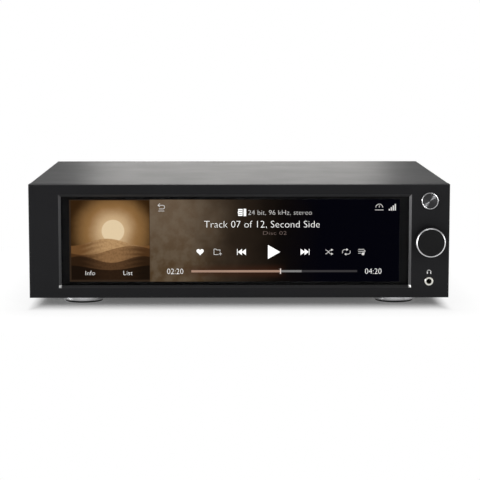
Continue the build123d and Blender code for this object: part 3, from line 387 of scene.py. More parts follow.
# %% [markdown]
# ## Finishes
# One recipe serves most finishes: a base colour that the clouds and pits move a little, a paler
# edge, and a roughness and a fine bump from the same pits. Flat colours would do for a sketch, but
# they look like plastic toys up close. Each finish below only says what differs on the real stuff,
# and names the packed parts that wear it.

# %% A finish, its wiring and the parts that wear it


class Finish:
    """A material with its shader and wiring, in every material slot of the CAD nodes it names."""

    def __init__(self, name, wearers=""):
        self.material = bpy.data.materials.new(name)
        self.material.use_nodes = True
        self.wire = Wiring(self.material.node_tree)
        self.shader = self.wire.nodes["Principled BSDF"]
        for wearer in wearers.split():
            if not nodes[wearer].data.materials:
                nodes[wearer].data.materials.append(self.material)
            for slot in nodes[wearer].material_slots:
                slot.material = self.material
        print("finish", name, "for", wearers or "new pieces")

    def group(self, tree, **values):
        """Places a shared effect with this finish's own values."""
        node = self.wire.add("ShaderNodeGroup", node_tree=tree)
        for label, value in values.items():
            node.inputs[label.capitalize()].default_value = value
        return node.outputs

    def set(self, **values):
        """Sets the shader's inputs, to plain values or to sockets that change over the surface."""
        for label, given in values.items():
            self.wire.put(given, self.shader.inputs[label.replace("_", " ")])

    def fed(self, label):
        """The socket that feeds the shader so far."""
        return self.shader.inputs[label].links[0].from_socket

    def bump(self, height, distance_mm):
        """A fine bump of the given real depth."""
        inputs = {"Height": height, "Distance": distance_mm * MM}
        self.set(Normal=self.wire.add("ShaderNodeBump", inputs).outputs[0])


def shade(colour, factor, most=1.0):
    """A colour made darker or paler: each part times the factor, but no more than the most."""
    return [min(part * factor, most) for part in colour]


print("a shade of white:", shade((1.0, 1.0, 1.0), 0.8))

# %% The common recipe
UNEVEN = 0.12
CLOUD_SHINE, PIT_SHINE = 0.10, 0.06


def surface(
    name, wearers, colour, worn, rough,
    pit=0.25, cloud=18.0, depth=0.004, edge=0.4, wear=0.5, metal=0.0, specular=0.5,
):
    """The common recipe. Sizes are in millimetres: pit and cloud of the grain, edge of the wear.
    The roughness is the given one plus small shares of the clouds and pits about their middle."""
    finish = Finish(name, wearers)
    wire = finish.wire
    finish.pitted = finish.group(grain, pit=pit, cloud=cloud)
    pits, clouds = finish.pitted["Pits"], finish.pitted["Clouds"]
    worn_mask = finish.group(edges, width=edge * MM, breakup=0.6)["Mask"]
    darker, paler = shade(colour, 1 - UNEVEN), shade(colour, 1 + UNEVEN)
    body = wire.mix(wire.smooth(clouds, 0.3, 0.7), darker, paler)
    speck = wire.mix(wire.smooth(pits, 0.35, 0.65), darker, paler)
    mixed = wire.mix(0.5, body, speck)
    finish.set(Base_Color=wire.mix(wire.math("MULTIPLY", worn_mask, wear), mixed, worn))
    shine = wire.math("MULTIPLY_ADD", clouds, CLOUD_SHINE, rough - CLOUD_SHINE / 2)
    shine = wire.math("SUBTRACT", shine, PIT_SHINE / 2)
    finish.rough = wire.math("MULTIPLY_ADD", pits, PIT_SHINE, shine)
    finish.set(Roughness=finish.rough)
    finish.bump(pits, depth)
    finish.set(Metallic=metal, Specular_IOR_Level=specular)
    return finish


print("the recipe moves a colour by", UNEVEN, "of itself")

# %% [markdown]
# ### Black aluminium case
# The case is aluminium blasted with fine beads and anodised black: even, nearly matt, with a soft
# sheen at a low angle. The window's bevel is cut after blasting, so it is smoother and catches more
# light. The bevel is part of the same node, so a mask from the window's real edges finds it. At its
# two lower corners a second mask paints a bright glint into the colour: a painted highlight.

# %% Case, base plate and screws
EDGE_GREY = (0.16, 0.16, 0.165)
surface(
    "black_anodised", "top_cover rear_panel heat_sink", (0.017, 0.017, 0.0175), EDGE_GREY, 0.40,
    pit=0.22, cloud=30.0, edge=0.35, wear=0.35, specular=0.42,
)
surface("powder_coat", "base_plate", (0.022,) * 3, (0.10,) * 3, 0.55, pit=0.5, depth=0.02)
surface(
    "black_oxide", "base_screws rear_screws", (0.018, 0.018, 0.019), (0.22, 0.21, 0.20), 0.35,
    pit=0.15, edge=0.15, metal=0.6,
)

# %% Front panel with its cut bevel
WINDOW_LEFT, WINDOW_RIGHT, WINDOW_EDGE = 19.6 * MM, 25.2 * MM, 6.7 * MM
# The third colour here is a painted highlight, a glint for the bevel's two lower corners.
CUT_DARK, CUT_PALE, PAINTED_GLINT = (0.046, 0.046, 0.047), (0.062, 0.062, 0.064), (0.70, 0.70, 0.69)
CUT_MARGIN, GLINT_FULL, GLINT_END = 0.05 * MM, 1.2 * MM, 2.0 * MM
CUT_SMOOTHER, CUT_METAL = -0.08, 0.75
window_low = np.array([panel_low[0] + WINDOW_LEFT, panel_low[2] + WINDOW_EDGE])
window_high = np.array([panel_high[0] - WINDOW_RIGHT, panel_high[2] - WINDOW_EDGE])
window_mid, window_half = (window_low + window_high) / 2, (window_high - window_low) / 2
finish = surface(
    "panel_anodised", "front_panel", (0.0112, 0.0112, 0.0124), EDGE_GREY, 0.38,
    pit=0.22, cloud=40.0, edge=0.3, specular=0.13,
)
wire = finish.wire
part = wire.axes()
off_x, off_z = wire.apart(part[0], window_mid[0]), wire.apart(part[2], window_mid[1])
inside_x = wire.math("LESS_THAN", off_x, window_half[0] + CUT_MARGIN)
inside_z = wire.math("LESS_THAN", off_z, window_half[1] + CUT_MARGIN)
inside = wire.math("MULTIPLY", inside_x, inside_z)
# Painted highlight: near the bevel's two lower corners the colour turns to a bright glint.
from_side = wire.math("MAXIMUM", wire.math("SUBTRACT", window_half[0], off_x), 0.0)
reach = wire.math("MAXIMUM", wire.above(part[2], window_low[1]), from_side)
corner = wire.smooth(reach, GLINT_FULL, GLINT_END, 1.0, 0.0)
cut_and_glint_colour = wire.mix(corner, wire.mix(finish.pitted["Pits"], CUT_DARK, CUT_PALE), PAINTED_GLINT)
finish.set(Base_Color=wire.mix(inside, finish.fed("Base Color"), cut_and_glint_colour))
finish.set(Roughness=wire.math("MULTIPLY_ADD", inside, CUT_SMOOTHER, finish.rough))
finish.set(Metallic=wire.math("MULTIPLY", inside, CUT_METAL))
print("window", np.round(2 * window_half / MM, 1))

# %% [markdown]
# ### Turned parts
# The knob, the power button and the feet come off a lathe. Their rings are too fine to see one by
# one, but together they stretch the highlight across the rings. The shader does that with its
# anisotropy, and needs the direction of the rings at each point: the axis crossed with the arm.

# %% A turned finish, and a bright ring cut into its front edge
RING_SHINE = 0.08
ALONG_Y, ALONG_Z = (0, 1, 0), (0, 0, 1)
BRIGHT = (0.80, 0.80, 0.81)


def turned(name, wearer, colour, axis, rough, stretch, step=0.12, metal=1.0, depth=0.002, about=None):
    """Rings about an axis through the part's middle, or through the middle of the part it turns
    about: a ringed colour and bump, and a tangent along the rings."""
    finish = Finish(name, wearer)
    wire = finish.wire
    centre = tuple(node_middle(about or wearer))
    keep = tuple(0.0 if part else 1.0 for part in axis)
    ring = finish.group(rings, centre=centre, keep=keep, step=step)
    clouds = finish.group(grain, pit=0.2, cloud=6.0)["Clouds"]
    ringed = wire.mix(ring["Height"], shade(colour, 0.85), shade(colour, 1.12))
    finish.set(Base_Color=wire.mix(wire.math("MULTIPLY", clouds, 0.2), ringed, colour))
    finish.radius = ring["Radius"]
    finish.rough = wire.math("MULTIPLY_ADD", ring["Height"], RING_SHINE, rough - RING_SHINE / 2)
    finish.set(Roughness=finish.rough)
    along = wire.vector("CROSS_PRODUCT", axis, wire.vector("SUBTRACT", wire.place(), centre))
    settings = {"vector_type": "VECTOR", "convert_from": "OBJECT", "convert_to": "WORLD"}
    in_world = wire.add("ShaderNodeVectorTransform", [along], **settings).outputs[0]
    finish.set(Tangent=wire.vector("NORMALIZE", in_world))
    finish.set(Metallic=metal, Anisotropic=stretch, Anisotropic_Rotation=0.25)
    finish.bump(ring["Height"], depth)
    return finish


def cut_ring(finish, wearer, radius, deep, rougher):
    """Brightens what is outside a radius and less deep than the cut, and returns that mask."""
    wire = finish.wire
    cut_y = node_box(wearer)[0][1] + (deep + 0.01) * MM
    outer = wire.math("GREATER_THAN", finish.radius, radius)
    mask = wire.math("MULTIPLY", outer, wire.math("LESS_THAN", wire.axes()[1], cut_y))
    finish.set(Base_Color=wire.mix(mask, finish.fed("Base Color"), BRIGHT))
    finish.set(Roughness=wire.math("MULTIPLY_ADD", mask, rougher, finish.rough))
    return mask


print("turned parts can have an axis such as", ALONG_Y)

# %% Volume knob, black with a bright chamfer, and power button, spun inside a thin bright ring
KNOB_RADIUS, KNOB_CHAMFER, KNOB_RING = 9.6, 0.9, 0.68
BUTTON_RADIUS, BUTTON_CHAMFER, BUTTON_RING = 5.5, 0.3, 0.45
finish = turned("knob_black", "volume_knob", (0.0125, 0.0125, 0.0128), ALONG_Y, 0.42, 0.3, metal=0.0)
finish.set(Specular_IOR_Level=0.05)
chamfer = cut_ring(finish, "volume_knob", KNOB_RADIUS - KNOB_RING, KNOB_CHAMFER, 0.02)
finish.set(Metallic=chamfer)
finish = turned(
    "button_spun", "power_button", (0.052, 0.052, 0.054), ALONG_Y, 0.20, 1.0, step=0.2, depth=0.0005
)
cut_ring(finish, "power_button", BUTTON_RADIUS - BUTTON_RING, BUTTON_CHAMFER, 0.16)

# %% Feet and shaft, with the rubber and the foam
for corner_name in ("front_left", "front_right", "rear_left", "rear_right"):
    foot_name = f"foot_turned_{corner_name}"
    turned(foot_name, f"foot_{corner_name}", (0.78, 0.78, 0.79), ALONG_Z, 0.22, 0.6)
turned("shaft_turned", "encoder_shaft", (0.72, 0.72, 0.73), ALONG_Y, 0.3, 0.5, about="volume_knob")
surface("black_rubber", "foot_pads", (0.016,) * 3, (0.05,) * 3, 0.75, pit=0.4, depth=0.02, edge=0.5)
surface("foam_tape", "display_gasket", (0.012,) * 3, (0.03,) * 3, 0.85, pit=0.3, depth=0.03, edge=0.2)

# %% [markdown]
# ### Metals, plastics and boards inside and behind
# Plated sheet keeps the long lines of its rolling. Gold on the sockets is thin over brass, a little
# redder in the clouds. Moulded plastic has fine texture, and a board's green resist is glossy.

# %% A rolled finish
LINE_SHINE = 0.14
LINES_X, LINES_Y, LINES_Z = (1.0, 20.0, 20.0), (20.0, 1.0, 20.0), (20.0, 20.0, 1.0)


def rolled(name, wearers, colour, rough, stretch, tarnish=None):
    """Rolled or brushed sheet: lines that move the colour and roughness, and a shallow bump."""
    finish = Finish(name, wearers)
    wire = finish.wire
    streak = finish.group(lines, stretch=stretch, size=2.0)["Lines"]
    clouds = finish.group(grain, pit=0.3, cloud=9.0)["Clouds"]
    worn_mask = finish.group(edges, width=0.25 * MM, breakup=0.4)["Mask"]
    streaked = wire.mix(streak, shade(colour, 0.86), shade(colour, 1.1, 0.95))
    age = wire.smooth(clouds, 0.45, 0.75, 0.0, 0.5)
    aged = wire.mix(age, streaked, tarnish or shade(colour, 0.8))
    bare = wire.mix(wire.math("MULTIPLY", worn_mask, 0.4), aged, shade(colour, 1.25, 0.97))
    finish.set(Base_Color=bare, Metallic=1.0)
    finish.set(Roughness=wire.math("MULTIPLY_ADD", streak, LINE_SHINE, rough - LINE_SHINE / 2))
    finish.bump(streak, 0.002)
    return finish


print("lines may run along x, y or z")

# %% Sheet and plated metals
STEEL_PARTS = (
    "backlight_tray display_bracket bracket_screws knob_grub_screw encoder_nut board_screws "
    "foot_screws audio_shield transformer_clamp lan_port usb_port video_port"
)
GOLD_PARTS = "line_out_jacks line_in_jacks coax_jack"
rolled("plated_steel", STEEL_PARTS, (0.52, 0.52, 0.53), 0.32, LINES_X)
gold_finish = rolled("gold_plate", GOLD_PARTS, (0.86, 0.66, 0.34), 0.2, LINES_Y, (0.72, 0.48, 0.22))
rolled("pale_gold", "headphone_sleeve", (0.88, 0.86, 0.79), 0.36, LINES_Y, (0.80, 0.74, 0.60))
rolled("turned_brass", "standoffs", (0.72, 0.52, 0.24), 0.3, LINES_Z, (0.5, 0.34, 0.16))
rolled("nickel_pins", "inlet_pins", (0.70, 0.69, 0.66), 0.22, LINES_Y)

# %% Plastics, windings, capacitors and the display's cell
MOULDED_PARTS = (
    "encoder_body button_guide tact_switch switch_plunger headphone_body processor optical_port "
    "optical_shutter mains_inlet rocker_housing rocker"
)
surface(
    "black_moulding", MOULDED_PARTS, (0.020, 0.020, 0.0205), (0.06,) * 3, 0.45, pit=0.35, depth=0.012
)
for finish_name, wearer, colour in (
    ("red_core", "red_insulators", (0.50, 0.016, 0.018)),
    ("white_core", "white_insulators", (0.80, 0.80, 0.77)),
    ("orange_core", "coax_insulator", (0.78, 0.24, 0.025)),
    ("clear_guide", "light_guide", (0.82, 0.85, 0.86)),
    ("ribbon_film", "display_ribbon", (0.42, 0.20, 0.04)),
):
    paler = tuple(min(part * 1.3 + 0.03, 0.95) for part in colour)
    surface(finish_name, wearer, colour, paler, 0.32, pit=0.4, cloud=7.0, edge=0.2)
surface(
    "taped_winding", "transformer", (0.62, 0.44, 0.10), (0.8, 0.62, 0.2), 0.35,
    pit=0.8, cloud=5.0, depth=0.01,
)
surface(
    "shrunk_sleeve", "capacitors", (0.018, 0.02, 0.05), (0.2, 0.2, 0.24), 0.28, pit=0.6, cloud=6.0
)
surface(
    "display_cell", "lcd_cell", (0.006, 0.006, 0.008), (0.02, 0.02, 0.022), 0.3, pit=0.4, depth=0.001
)

# %% Boards: green resist over copper tracks
BOARDS = "display_board control_board main_board audio_board supply_board"
TRACKS = {"Scale": 240.0, "Mortar Size": 0.04, "Mortar Smooth": 0.2, "Brick Width": 0.9, "Row Height": 0.3}
finish = surface(
    "solder_resist", BOARDS, (0.012, 0.085, 0.035), (0.35, 0.28, 0.12), 0.3, pit=0.6, cloud=12.0, edge=0.2
)
wire = finish.wire
tracks = wire.add("ShaderNodeTexBrick", {"Vector": wire.place(), **TRACKS}).outputs["Fac"]
track_share = wire.math("MULTIPLY", tracks, 0.6)
finish.set(Base_Color=wire.mix(track_share, finish.fed("Base Color"), (0.03, 0.17, 0.07)))

# %% [markdown]
# ### Cover glass
# The display lies behind coated glass, which hardly mirrors the room. Roughness would hide the room
# too, but it would blur the picture, so this glass is clear and quite smooth. That makes its mirror
# rays singular, and the table and the world below answer such rays with very little light.

# %% Cover glass: clear and smooth, its tint a little cloudy
finish = Finish("coated_glass", "cover_glass")
clouds = finish.group(grain, pit=1.5, cloud=26.0)["Clouds"]
finish.set(Base_Color=finish.wire.mix(clouds, (0.97, 0.98, 0.98), (1.0, 1.0, 1.0)))
finish.set(Transmission_Weight=1.0, Roughness=0.0, IOR=1.30, Metallic=0.0)

# %% [markdown]
# ## The lit picture
# The display shows a player's page. It could be one painted image, but drawn as thin layers it
# stays sharp at any distance: a dark backdrop, a plain album picture, and every sign and digit as
# a real plate or stroke on it. The layers lie in the air gap between cell and cover glass. All
# measures on the picture are in millimetres from its middle.

# %% Picture plane, sheets and levels
PICTURE_WIDTH, PICTURE_HEIGHT, PICTURE_SHIFT = 218.9, 54.8, 0.4
cell_y = node_box("lcd_cell")[0][1]
picture_middle = (window_mid[0] - PICTURE_SHIFT * MM, cell_y, mid_z)
SHEET = 0.02
BACKDROP_LEVEL, SIGN_LEVEL, BADGE_LEVEL = 0.02, 0.08, 0.12
ALBUM_LEVEL, WORD_LEVEL, BORDER_LEVEL = 0.16, 0.22, 0.34


def on_picture(name, shapes, finish, level=SIGN_LEVEL):
    """Joins shapes into one piece that lies on the picture at a level."""
    points, faces = joined(shapes)
    points[:, 2] += level
    make_piece(name, (points, faces), (picture_middle, FRONT_AXES), finish)


def block(outline, floor=0.0):
    """A filled outline, one sheet thick."""
    return plate(outline, SHEET, floor)


print("picture plane at y", round(cell_y / MM, 2))

# %% Screen colours and glow


def tone(red, green, blue):
    """A screen colour from 0 to 255 as the linear colour that a shader takes."""
    part = np.array([red, green, blue]) / 255
    return tuple(np.where(part <= 0.04045, part / 12.92, ((part + 0.055) / 1.055) ** 2.4).tolist())


def lit(name, colour, strength=1.0):
    """A glowing sign: its colour with the slight unevenness of a back light."""
    finish = Finish(name)
    clouds = finish.group(grain, pit=0.3, cloud=14.0)["Clouds"]
    glow = finish.wire.mix(clouds, shade(colour, 0.92), shade(colour, 1.08))
    finish.set(Emission_Color=glow, Emission_Strength=strength)
    finish.set(Base_Color=(0.0, 0.0, 0.0), Specular_IOR_Level=0.0)
    return finish


def picture_axes(finish):
    """The picture's own x and y in millimetres, from its middle."""
    wire = finish.wire
    part = wire.axes()
    across = wire.math("DIVIDE", wire.math("SUBTRACT", part[0], picture_middle[0]), MM)
    upward = wire.math("DIVIDE", wire.math("SUBTRACT", part[2], picture_middle[2]), MM)
    return across, upward


print("half white is", np.round(tone(128, 128, 128), 3))

# %% Backdrop: warm and light beside the album, dark blue at the right, with a glow about the bar
BAR = -20.5
ALBUM_SIDE = (-56.4, -55.8)
backdrop_finish = lit("picture_backdrop", (0, 0, 0))
wire = backdrop_finish.wire
across, upward = picture_axes(backdrop_finish)
drift = backdrop_finish.group(grain, pit=7.0, cloud=22.0)
wavy = wire.math("MULTIPLY_ADD", drift["Clouds"], 26.0, wire.math("SUBTRACT", across, 13.0))
page = wire.mix(wire.smooth(upward, -26.0, 18.0), tone(76, 58, 38), tone(99, 82, 65))
page = wire.mix(wire.smooth(drift["Pits"], 0.3, 0.7, 0.0, 0.35), page, tone(120, 108, 92))
for start, end, darker in (
    (-38.0, 4.0, (42, 33, 25)),
    (-6.0, 34.0, (13, 9, 7)),
    (22.0, 60.0, (2, 2, 9)),
):
    page = wire.mix(wire.smooth(wavy, start, end), page, tone(*darker))
played = wire.math("MULTIPLY", wire.smooth(across, -40.0, -26.0), wire.smooth(across, 26.0, 36.0, 1.0, 0.0))
near_bar = wire.smooth(wire.apart(upward, BAR), 0.8, 6.0, 0.42, 0.0)
page = wire.mix(wire.math("MULTIPLY", played, near_bar), page, tone(66, 35, 21))
beyond_album = wire.smooth(across, *ALBUM_SIDE)
backdrop_finish.set(Emission_Color=wire.mix(beyond_album, tone(50, 38, 28), page))
backdrop_shape = block(rectangle((0, 0), PICTURE_WIDTH, PICTURE_HEIGHT))
on_picture("picture_backdrop", [backdrop_shape], backdrop_finish, BACKDROP_LEVEL)

# %% [markdown]
# The album picture is a plain one: a low sun over four folds of sand. It could be a painting, but
# sums on the picture's own millimetres make it anew: each fold is a wave, and each lies over the last.

# %% Album picture: sun and sky
ALBUM_MID, ALBUM_WIDTH, ALBUM_HEIGHT = (-82.3, 0.4), 52.0, 53.0
SUN_MID, SUN_RADIUS, SUN_SOFT = (-80.5, 6.5), 7.5, 0.3
album_finish = lit("album_sands", (0, 0, 0))
wire = album_finish.wire
across, upward = picture_axes(album_finish)
drift = album_finish.group(grain, pit=1.4, cloud=16.0)
from_sun = wire.math("SUBTRACT", across, SUN_MID[0])
reach = wire.length(from_sun, wire.math("SUBTRACT", upward, SUN_MID[1]))
haze = wire.math("MULTIPLY_ADD", drift["Clouds"], 6.0, reach)
halo = wire.mix(wire.smooth(haze, 9.0, 21.0), tone(206, 174, 133), tone(142, 105, 63))
dusk = wire.mix(wire.smooth(haze, 18.0, 33.0), halo, tone(50, 31, 12))
outside_sun = wire.smooth(reach, SUN_RADIUS - SUN_SOFT, SUN_RADIUS + SUN_SOFT)
picture = wire.mix(outside_sun, tone(230, 206, 168), dusk)

# %% Album picture: four folds of sand, each darker than the last
RIPPLES, RIPPLE_DRIFT, RIPPLE_REACH, FOLD_SOFT = 1.9, 9.0, 1.6, 0.25
for crest, swell, bend, shift, sunny, shady in (
    (-1.0, 2.4, 0.13, 0.0, tone(186, 148, 104), tone(108, 74, 42)),
    (-6.5, 3.0, 0.10, 2.1, tone(142, 106, 70), tone(74, 48, 26)),
    (-12.5, 2.2, 0.15, 4.4, tone(86, 60, 38), tone(44, 28, 15)),
    (-18.0, 1.6, 0.11, 1.2, tone(44, 29, 17), tone(25, 16, 9)),
):
    wave = wire.math("SINE", wire.math("MULTIPLY_ADD", across, bend, shift))
    below = wire.math("SUBTRACT", wire.math("MULTIPLY_ADD", wave, swell, crest), upward)
    drifting = wire.math("MULTIPLY", drift["Clouds"], RIPPLE_DRIFT)
    ripple = wire.math("SINE", wire.math("MULTIPLY_ADD", below, RIPPLES, drifting))
    from_light = wire.math("MULTIPLY_ADD", ripple, RIPPLE_REACH, wire.math("ABSOLUTE", from_sun))
    sand = wire.mix(wire.smooth(from_light, 3.0, 22.0), sunny, shady)
    grained = wire.mix(wire.smooth(drift["Pits"], 0.42, 0.70, 0.0, 0.30), sand, shady)
    picture = wire.mix(wire.smooth(below, -FOLD_SOFT, FOLD_SOFT), picture, grained)
album_finish.set(Emission_Color=picture)
album_shape = block(rectangle(ALBUM_MID, ALBUM_WIDTH, ALBUM_HEIGHT))
on_picture("album_picture", [album_shape], album_finish, ALBUM_LEVEL)

# %% [markdown]
# ### Signs and words on the picture
# Each sign is drawn from the few plates and strokes that its plain form needs. Letters in a font of
# signs would be quicker, but no such font is at hand. Where two strokes cross, one lies a sheet
# higher, so that their faces never share a plane.

# %% Sign colours and outlines
white = lit("sign_white", tone(250, 249, 246), 1.3)
grey = lit("sign_grey", tone(226, 224, 222))
faint = lit("sign_faint", tone(120, 104, 98))
ROW = -7.6
LINE = 0.34


def line(path, floor=0.0, width=LINE):
    """A thin stroke, one sheet thick."""
    return stroke(path, width, SHEET, floor=floor)


def triangle(tip_x, base_x, mid, half):
    """A triangle that points along x, its corners anticlockwise."""
    corners = [(tip_x, mid), (base_x, mid + half), (base_x, mid - half)]
    return corners if tip_x > base_x else corners[::-1]


def heart(centre, width):
    """The heart curve: 16 sine cubed across, and 13, 5, 2 and 1 parts of four cosines upward."""
    turn = np.linspace(0, 2 * math.pi, 48, endpoint=False)
    x = 16 * np.sin(turn) ** 3
    y = 13 * np.cos(turn) - 5 * np.cos(2 * turn) - 2 * np.cos(3 * turn) - np.cos(4 * turn)
    return np.column_stack([x, y])[::-1] * width / 32 + np.asarray(centre)

# %% Heart, the folder with its plus, previous, play and next
on_picture("heart_sign", [block(heart((-22.8, ROW + 0.2), 4.8))], white)
folder_left = [(-10.6, -9.3), (-13.6, -9.3), (-13.6, -5.6), (-12.4, -5.6)]
folder_right = [(-11.8, -6.2), (-9.6, -6.2), (-9.6, -7.2)]
plus = [line([(-9.4, -7.8), (-9.4, -9.8)]), line([(-10.4, -8.8), (-8.4, -8.8)], SHEET)]
on_picture("add_to_list_sign", [line(folder_left + folder_right), *plus], grey)
SKIP_BAR, SKIP_HALF, PLAY_HALF = (0.42, 4.0), 2.1, 4.7


def skip_sign(name, bar_x, near, far):
    """A bar and two triangles that point at it, each given by its tip and its base."""
    bar = block(rectangle((bar_x, ROW), *SKIP_BAR))
    near_shape = block(triangle(*near, ROW, SKIP_HALF))
    far_shape = block(triangle(*far, ROW, SKIP_HALF), SHEET)
    on_picture(name, [bar, near_shape, far_shape], white)


skip_sign("previous_sign", 1.9, (2.2, 5.0), (4.7, 7.6))
on_picture("play_sign", [block(triangle(30.4, 22.2, ROW, PLAY_HALF))], white)
skip_sign("next_sign", 49.6, (49.3, 46.5), (46.8, 43.9))

# %% Shuffle, two crossing half waves with an arrow head each, and repeat, two hooked arrows
CROSS_RISE, HEAD_HALF = 1.35, 0.85
crossing = np.column_stack([np.linspace(60.4, 64.4, 16), np.linspace(-1, 1, 16)])
crossing[:, 1] = CROSS_RISE * np.sin(crossing[:, 1] * math.pi / 2)
shuffle = [line(crossing + (0, ROW)), line(crossing * (1, -1) + (0, ROW), SHEET)]
shuffle += [block(triangle(65.6, 64.2, ROW + side * CROSS_RISE, HEAD_HALF)) for side in (1, -1)]
on_picture("shuffle_sign", shuffle, grey)
LOOP = 1.5
upper_hook = np.vstack([arc((73.2, ROW), LOOP, 215, 90, 10), [(74.4, ROW + LOOP)]])
lower_hook = np.vstack([arc((75.4, ROW), LOOP, 35, -90, 10), [(74.2, ROW - LOOP)]])
upper_head = block(triangle(75.6, 74.3, ROW + LOOP, HEAD_HALF))
lower_head = block(triangle(73.0, 74.3, ROW - LOOP, HEAD_HALF))
on_picture("repeat_sign", [line(upper_hook), line(lower_hook), upper_head, lower_head], grey)

# %% Queue, three lines and a note, and a return arrow over a short line
QUEUE_LINES = ((1.7, 86.2), (0.4, 86.2), (-0.9, 84.2))
queue_lines = [line([(82.2, ROW + rise), (end, ROW + rise)]) for rise, end in QUEUE_LINES]
note_head = block(arc((85.4, ROW - 1.3), 0.95, 0, 345, 18))
note_stem = line([(86.2, ROW - 1.3), (86.2, ROW + 0.9), (87.2, ROW + 0.4)], SHEET)
on_picture("queue_sign", [*queue_lines, note_head, note_stem], grey)
hook = np.vstack([[(-50.4, 23.6), (-47.6, 23.6)], arc((-47.4, 22.4), 1.2, 90, -90, 10), [(-50.0, 21.2)]])
arrow_head = line([(-49.3, 24.8), (-50.6, 23.6), (-49.3, 22.5)], SHEET)
on_picture("return_sign", [line(hook), arrow_head, line([(-50.3, 19.8), (-46.4, 19.8)], width=0.3)], grey)

# %% Format badge, two blocks and three dark lines, then gauge and signal bars
FORMAT_ROW = 18.8
badge = [
    block(rounded_bar((3.7, FORMAT_ROW), 3.0, 2.4)),
    block(rectangle((3.9, FORMAT_ROW), 2.9, 4.6), SHEET),
    block(rounded_bar((6.9, FORMAT_ROW), 1.9, 1.0)),
    block(rectangle((6.9, FORMAT_ROW), 1.7, 4.9), SHEET),
]
on_picture("format_badge", badge, white)
badge_rows = [FORMAT_ROW + step for step in (-1.2, 0.0, 1.2)]
badge_lines = [line([(2.7, row), (5.1, row)], width=0.4) for row in badge_rows]
on_picture("badge_lines", badge_lines, backdrop_finish, BADGE_LEVEL)
gauge_arc = line(arc((95.9, 22.0), 2.3, 0, 180, 20))
gauge_hand = line([(95.9, 22.0), (95.9, 23.4)])
on_picture("gauge_sign", [gauge_arc, gauge_hand, line([(93.1, 20.4), (98.7, 20.4)])], grey)
SIGNAL_LEFT, SIGNAL_FOOT, SIGNAL_STEP, SIGNAL_WIDTH, SIGNAL_RISE = 102.6, 20.0, 1.3, 0.8, 1.1
signal_bars = []
for number in range(4):
    high = SIGNAL_RISE * (number + 1)
    middle = (SIGNAL_LEFT + SIGNAL_STEP * number, SIGNAL_FOOT + high / 2)
    signal_bars.append(block(rectangle(middle, SIGNAL_WIDTH, high)))
on_picture("signal_sign", signal_bars, grey)

# %% Words and digits: a track's plain number, its format and its times
THINNER = 0.019
for name, text, x, y, high, wide, finish, level in (
    ("title_words", "Track 07 of 12, Second Side", 18.2, 11.0, 4.6, 76.6, white, SIGN_LEVEL),
    ("format_words", "24 bit, 96 kHz, stereo", 30.2, FORMAT_ROW, 3.2, 42.2, grey, SIGN_LEVEL),
    ("album_words", "Disc 02", 26.8, 5.1, 2.4, 15.6, faint, SIGN_LEVEL),
    ("time_gone", "02:20", -39.4, BAR, 3.7, 10.7, white, SIGN_LEVEL),
    ("time_whole", "04:20", 92.3, BAR, 3.7, 10.9, white, SIGN_LEVEL),
    ("info_words", "Info", -95.8, -21.5, 3.0, 6.2, white, WORD_LEVEL),
    ("list_words", "List", -70.7, -21.5, 3.0, 6.0, white, WORD_LEVEL),
):
    points, faces = lettering(text, high, SHEET, wide, THINNER)
    on_picture(name, [(points + (x, y, 0.0), faces)], finish, level)

# %% Progress bar: played, loaded and still to come, with a thin marker
for name, finish_name, colour, x, wide, high, level in (
    ("played_bar", "bar_played", (170, 138, 120), 1.0, 59.4, 1.5, SIGN_LEVEL),
    ("loaded_bar", "bar_loaded", (132, 130, 129), 37.6, 14.0, 1.4, SIGN_LEVEL),
    ("coming_bar", "bar_coming", (58, 56, 58), 63.1, 37.0, 1.4, SIGN_LEVEL),
    ("bar_marker", "bar_marker", (228, 214, 206), 30.6, 0.8, 3.6, BADGE_LEVEL),
):
    on_picture(name, [block(rectangle((x, BAR), wide, high))], lit(finish_name, tone(*colour)), level)

# %% Printed black border on the back of the cover glass
BORDER_INSET = 0.4
BORDER_BLACK = (0.0165, 0.0165, 0.017)
border_finish = surface(
    "printed_border", "", BORDER_BLACK, (0.02,) * 3, 0.6, pit=0.5, depth=0.001, specular=0.0
)
glass_low, glass_high = node_box("cover_glass")
glass_size = (glass_high - glass_low) / MM
side_wide = (glass_size[0] - 2 * BORDER_INSET - PICTURE_WIDTH) / 2
top_wide = (glass_size[2] - 2 * BORDER_INSET - PICTURE_HEIGHT) / 2
side_x, top_y = (PICTURE_WIDTH + side_wide) / 2, (PICTURE_HEIGHT + top_wide) / 2
side_high = PICTURE_HEIGHT + 2 * top_wide
border = [block(rectangle((side * side_x, 0), side_wide, side_high)) for side in (-1, 1)]
border += [block(rectangle((0, side * top_y), PICTURE_WIDTH, top_wide)) for side in (-1, 1)]
on_picture("printed_border", border, border_finish, BORDER_LEVEL)

# %% [markdown]
# ## Printed signs on the case
# The headphone sign over the socket is screen-printed. It could be a stroke in a texture, but a
# thin plate of ink keeps its real edge. The rear gets plain words over its sockets.

# %% Headphone sign: a headband and two ear cups
INK = 0.03
SIGN_RISE, BAND_RADIUS, BAND_WIDTH = 6.3, 1.2, 0.38
CUP_WIDTH, CUP_HEIGHT, CUP_X, CUP_Y = 0.75, 1.45, 1.12, -0.68
ink_finish = surface(
    "pale_ink", "", tone(232, 232, 230), tone(240, 240, 240), 0.5, pit=0.2, depth=0.002, edge=0.05
)
jack_mid = node_middle("headphone_sleeve")
sign_spot = ((jack_mid[0], panel_low[1], jack_mid[2] + SIGN_RISE * MM), FRONT_AXES)
headphone_shapes = [stroke(arc((0, 0), BAND_RADIUS, -12, 192, 28), BAND_WIDTH, INK)]
for side in (-1, 1):
    cup = standing_bar((side * CUP_X, CUP_Y), CUP_WIDTH, CUP_HEIGHT)
    headphone_shapes.append(plate(cup, INK, 0.5 * INK))
make_piece("headphone_sign", joined(headphone_shapes), sign_spot, ink_finish)

# %% Words over the rear sockets
WORD_HEIGHT, WORD_GAP = 2.3, 3.4
LETTER_ASIDE, LETTER_INSET = 9.0, 6.2
rear_y = node_box("rear_panel")[1][1]


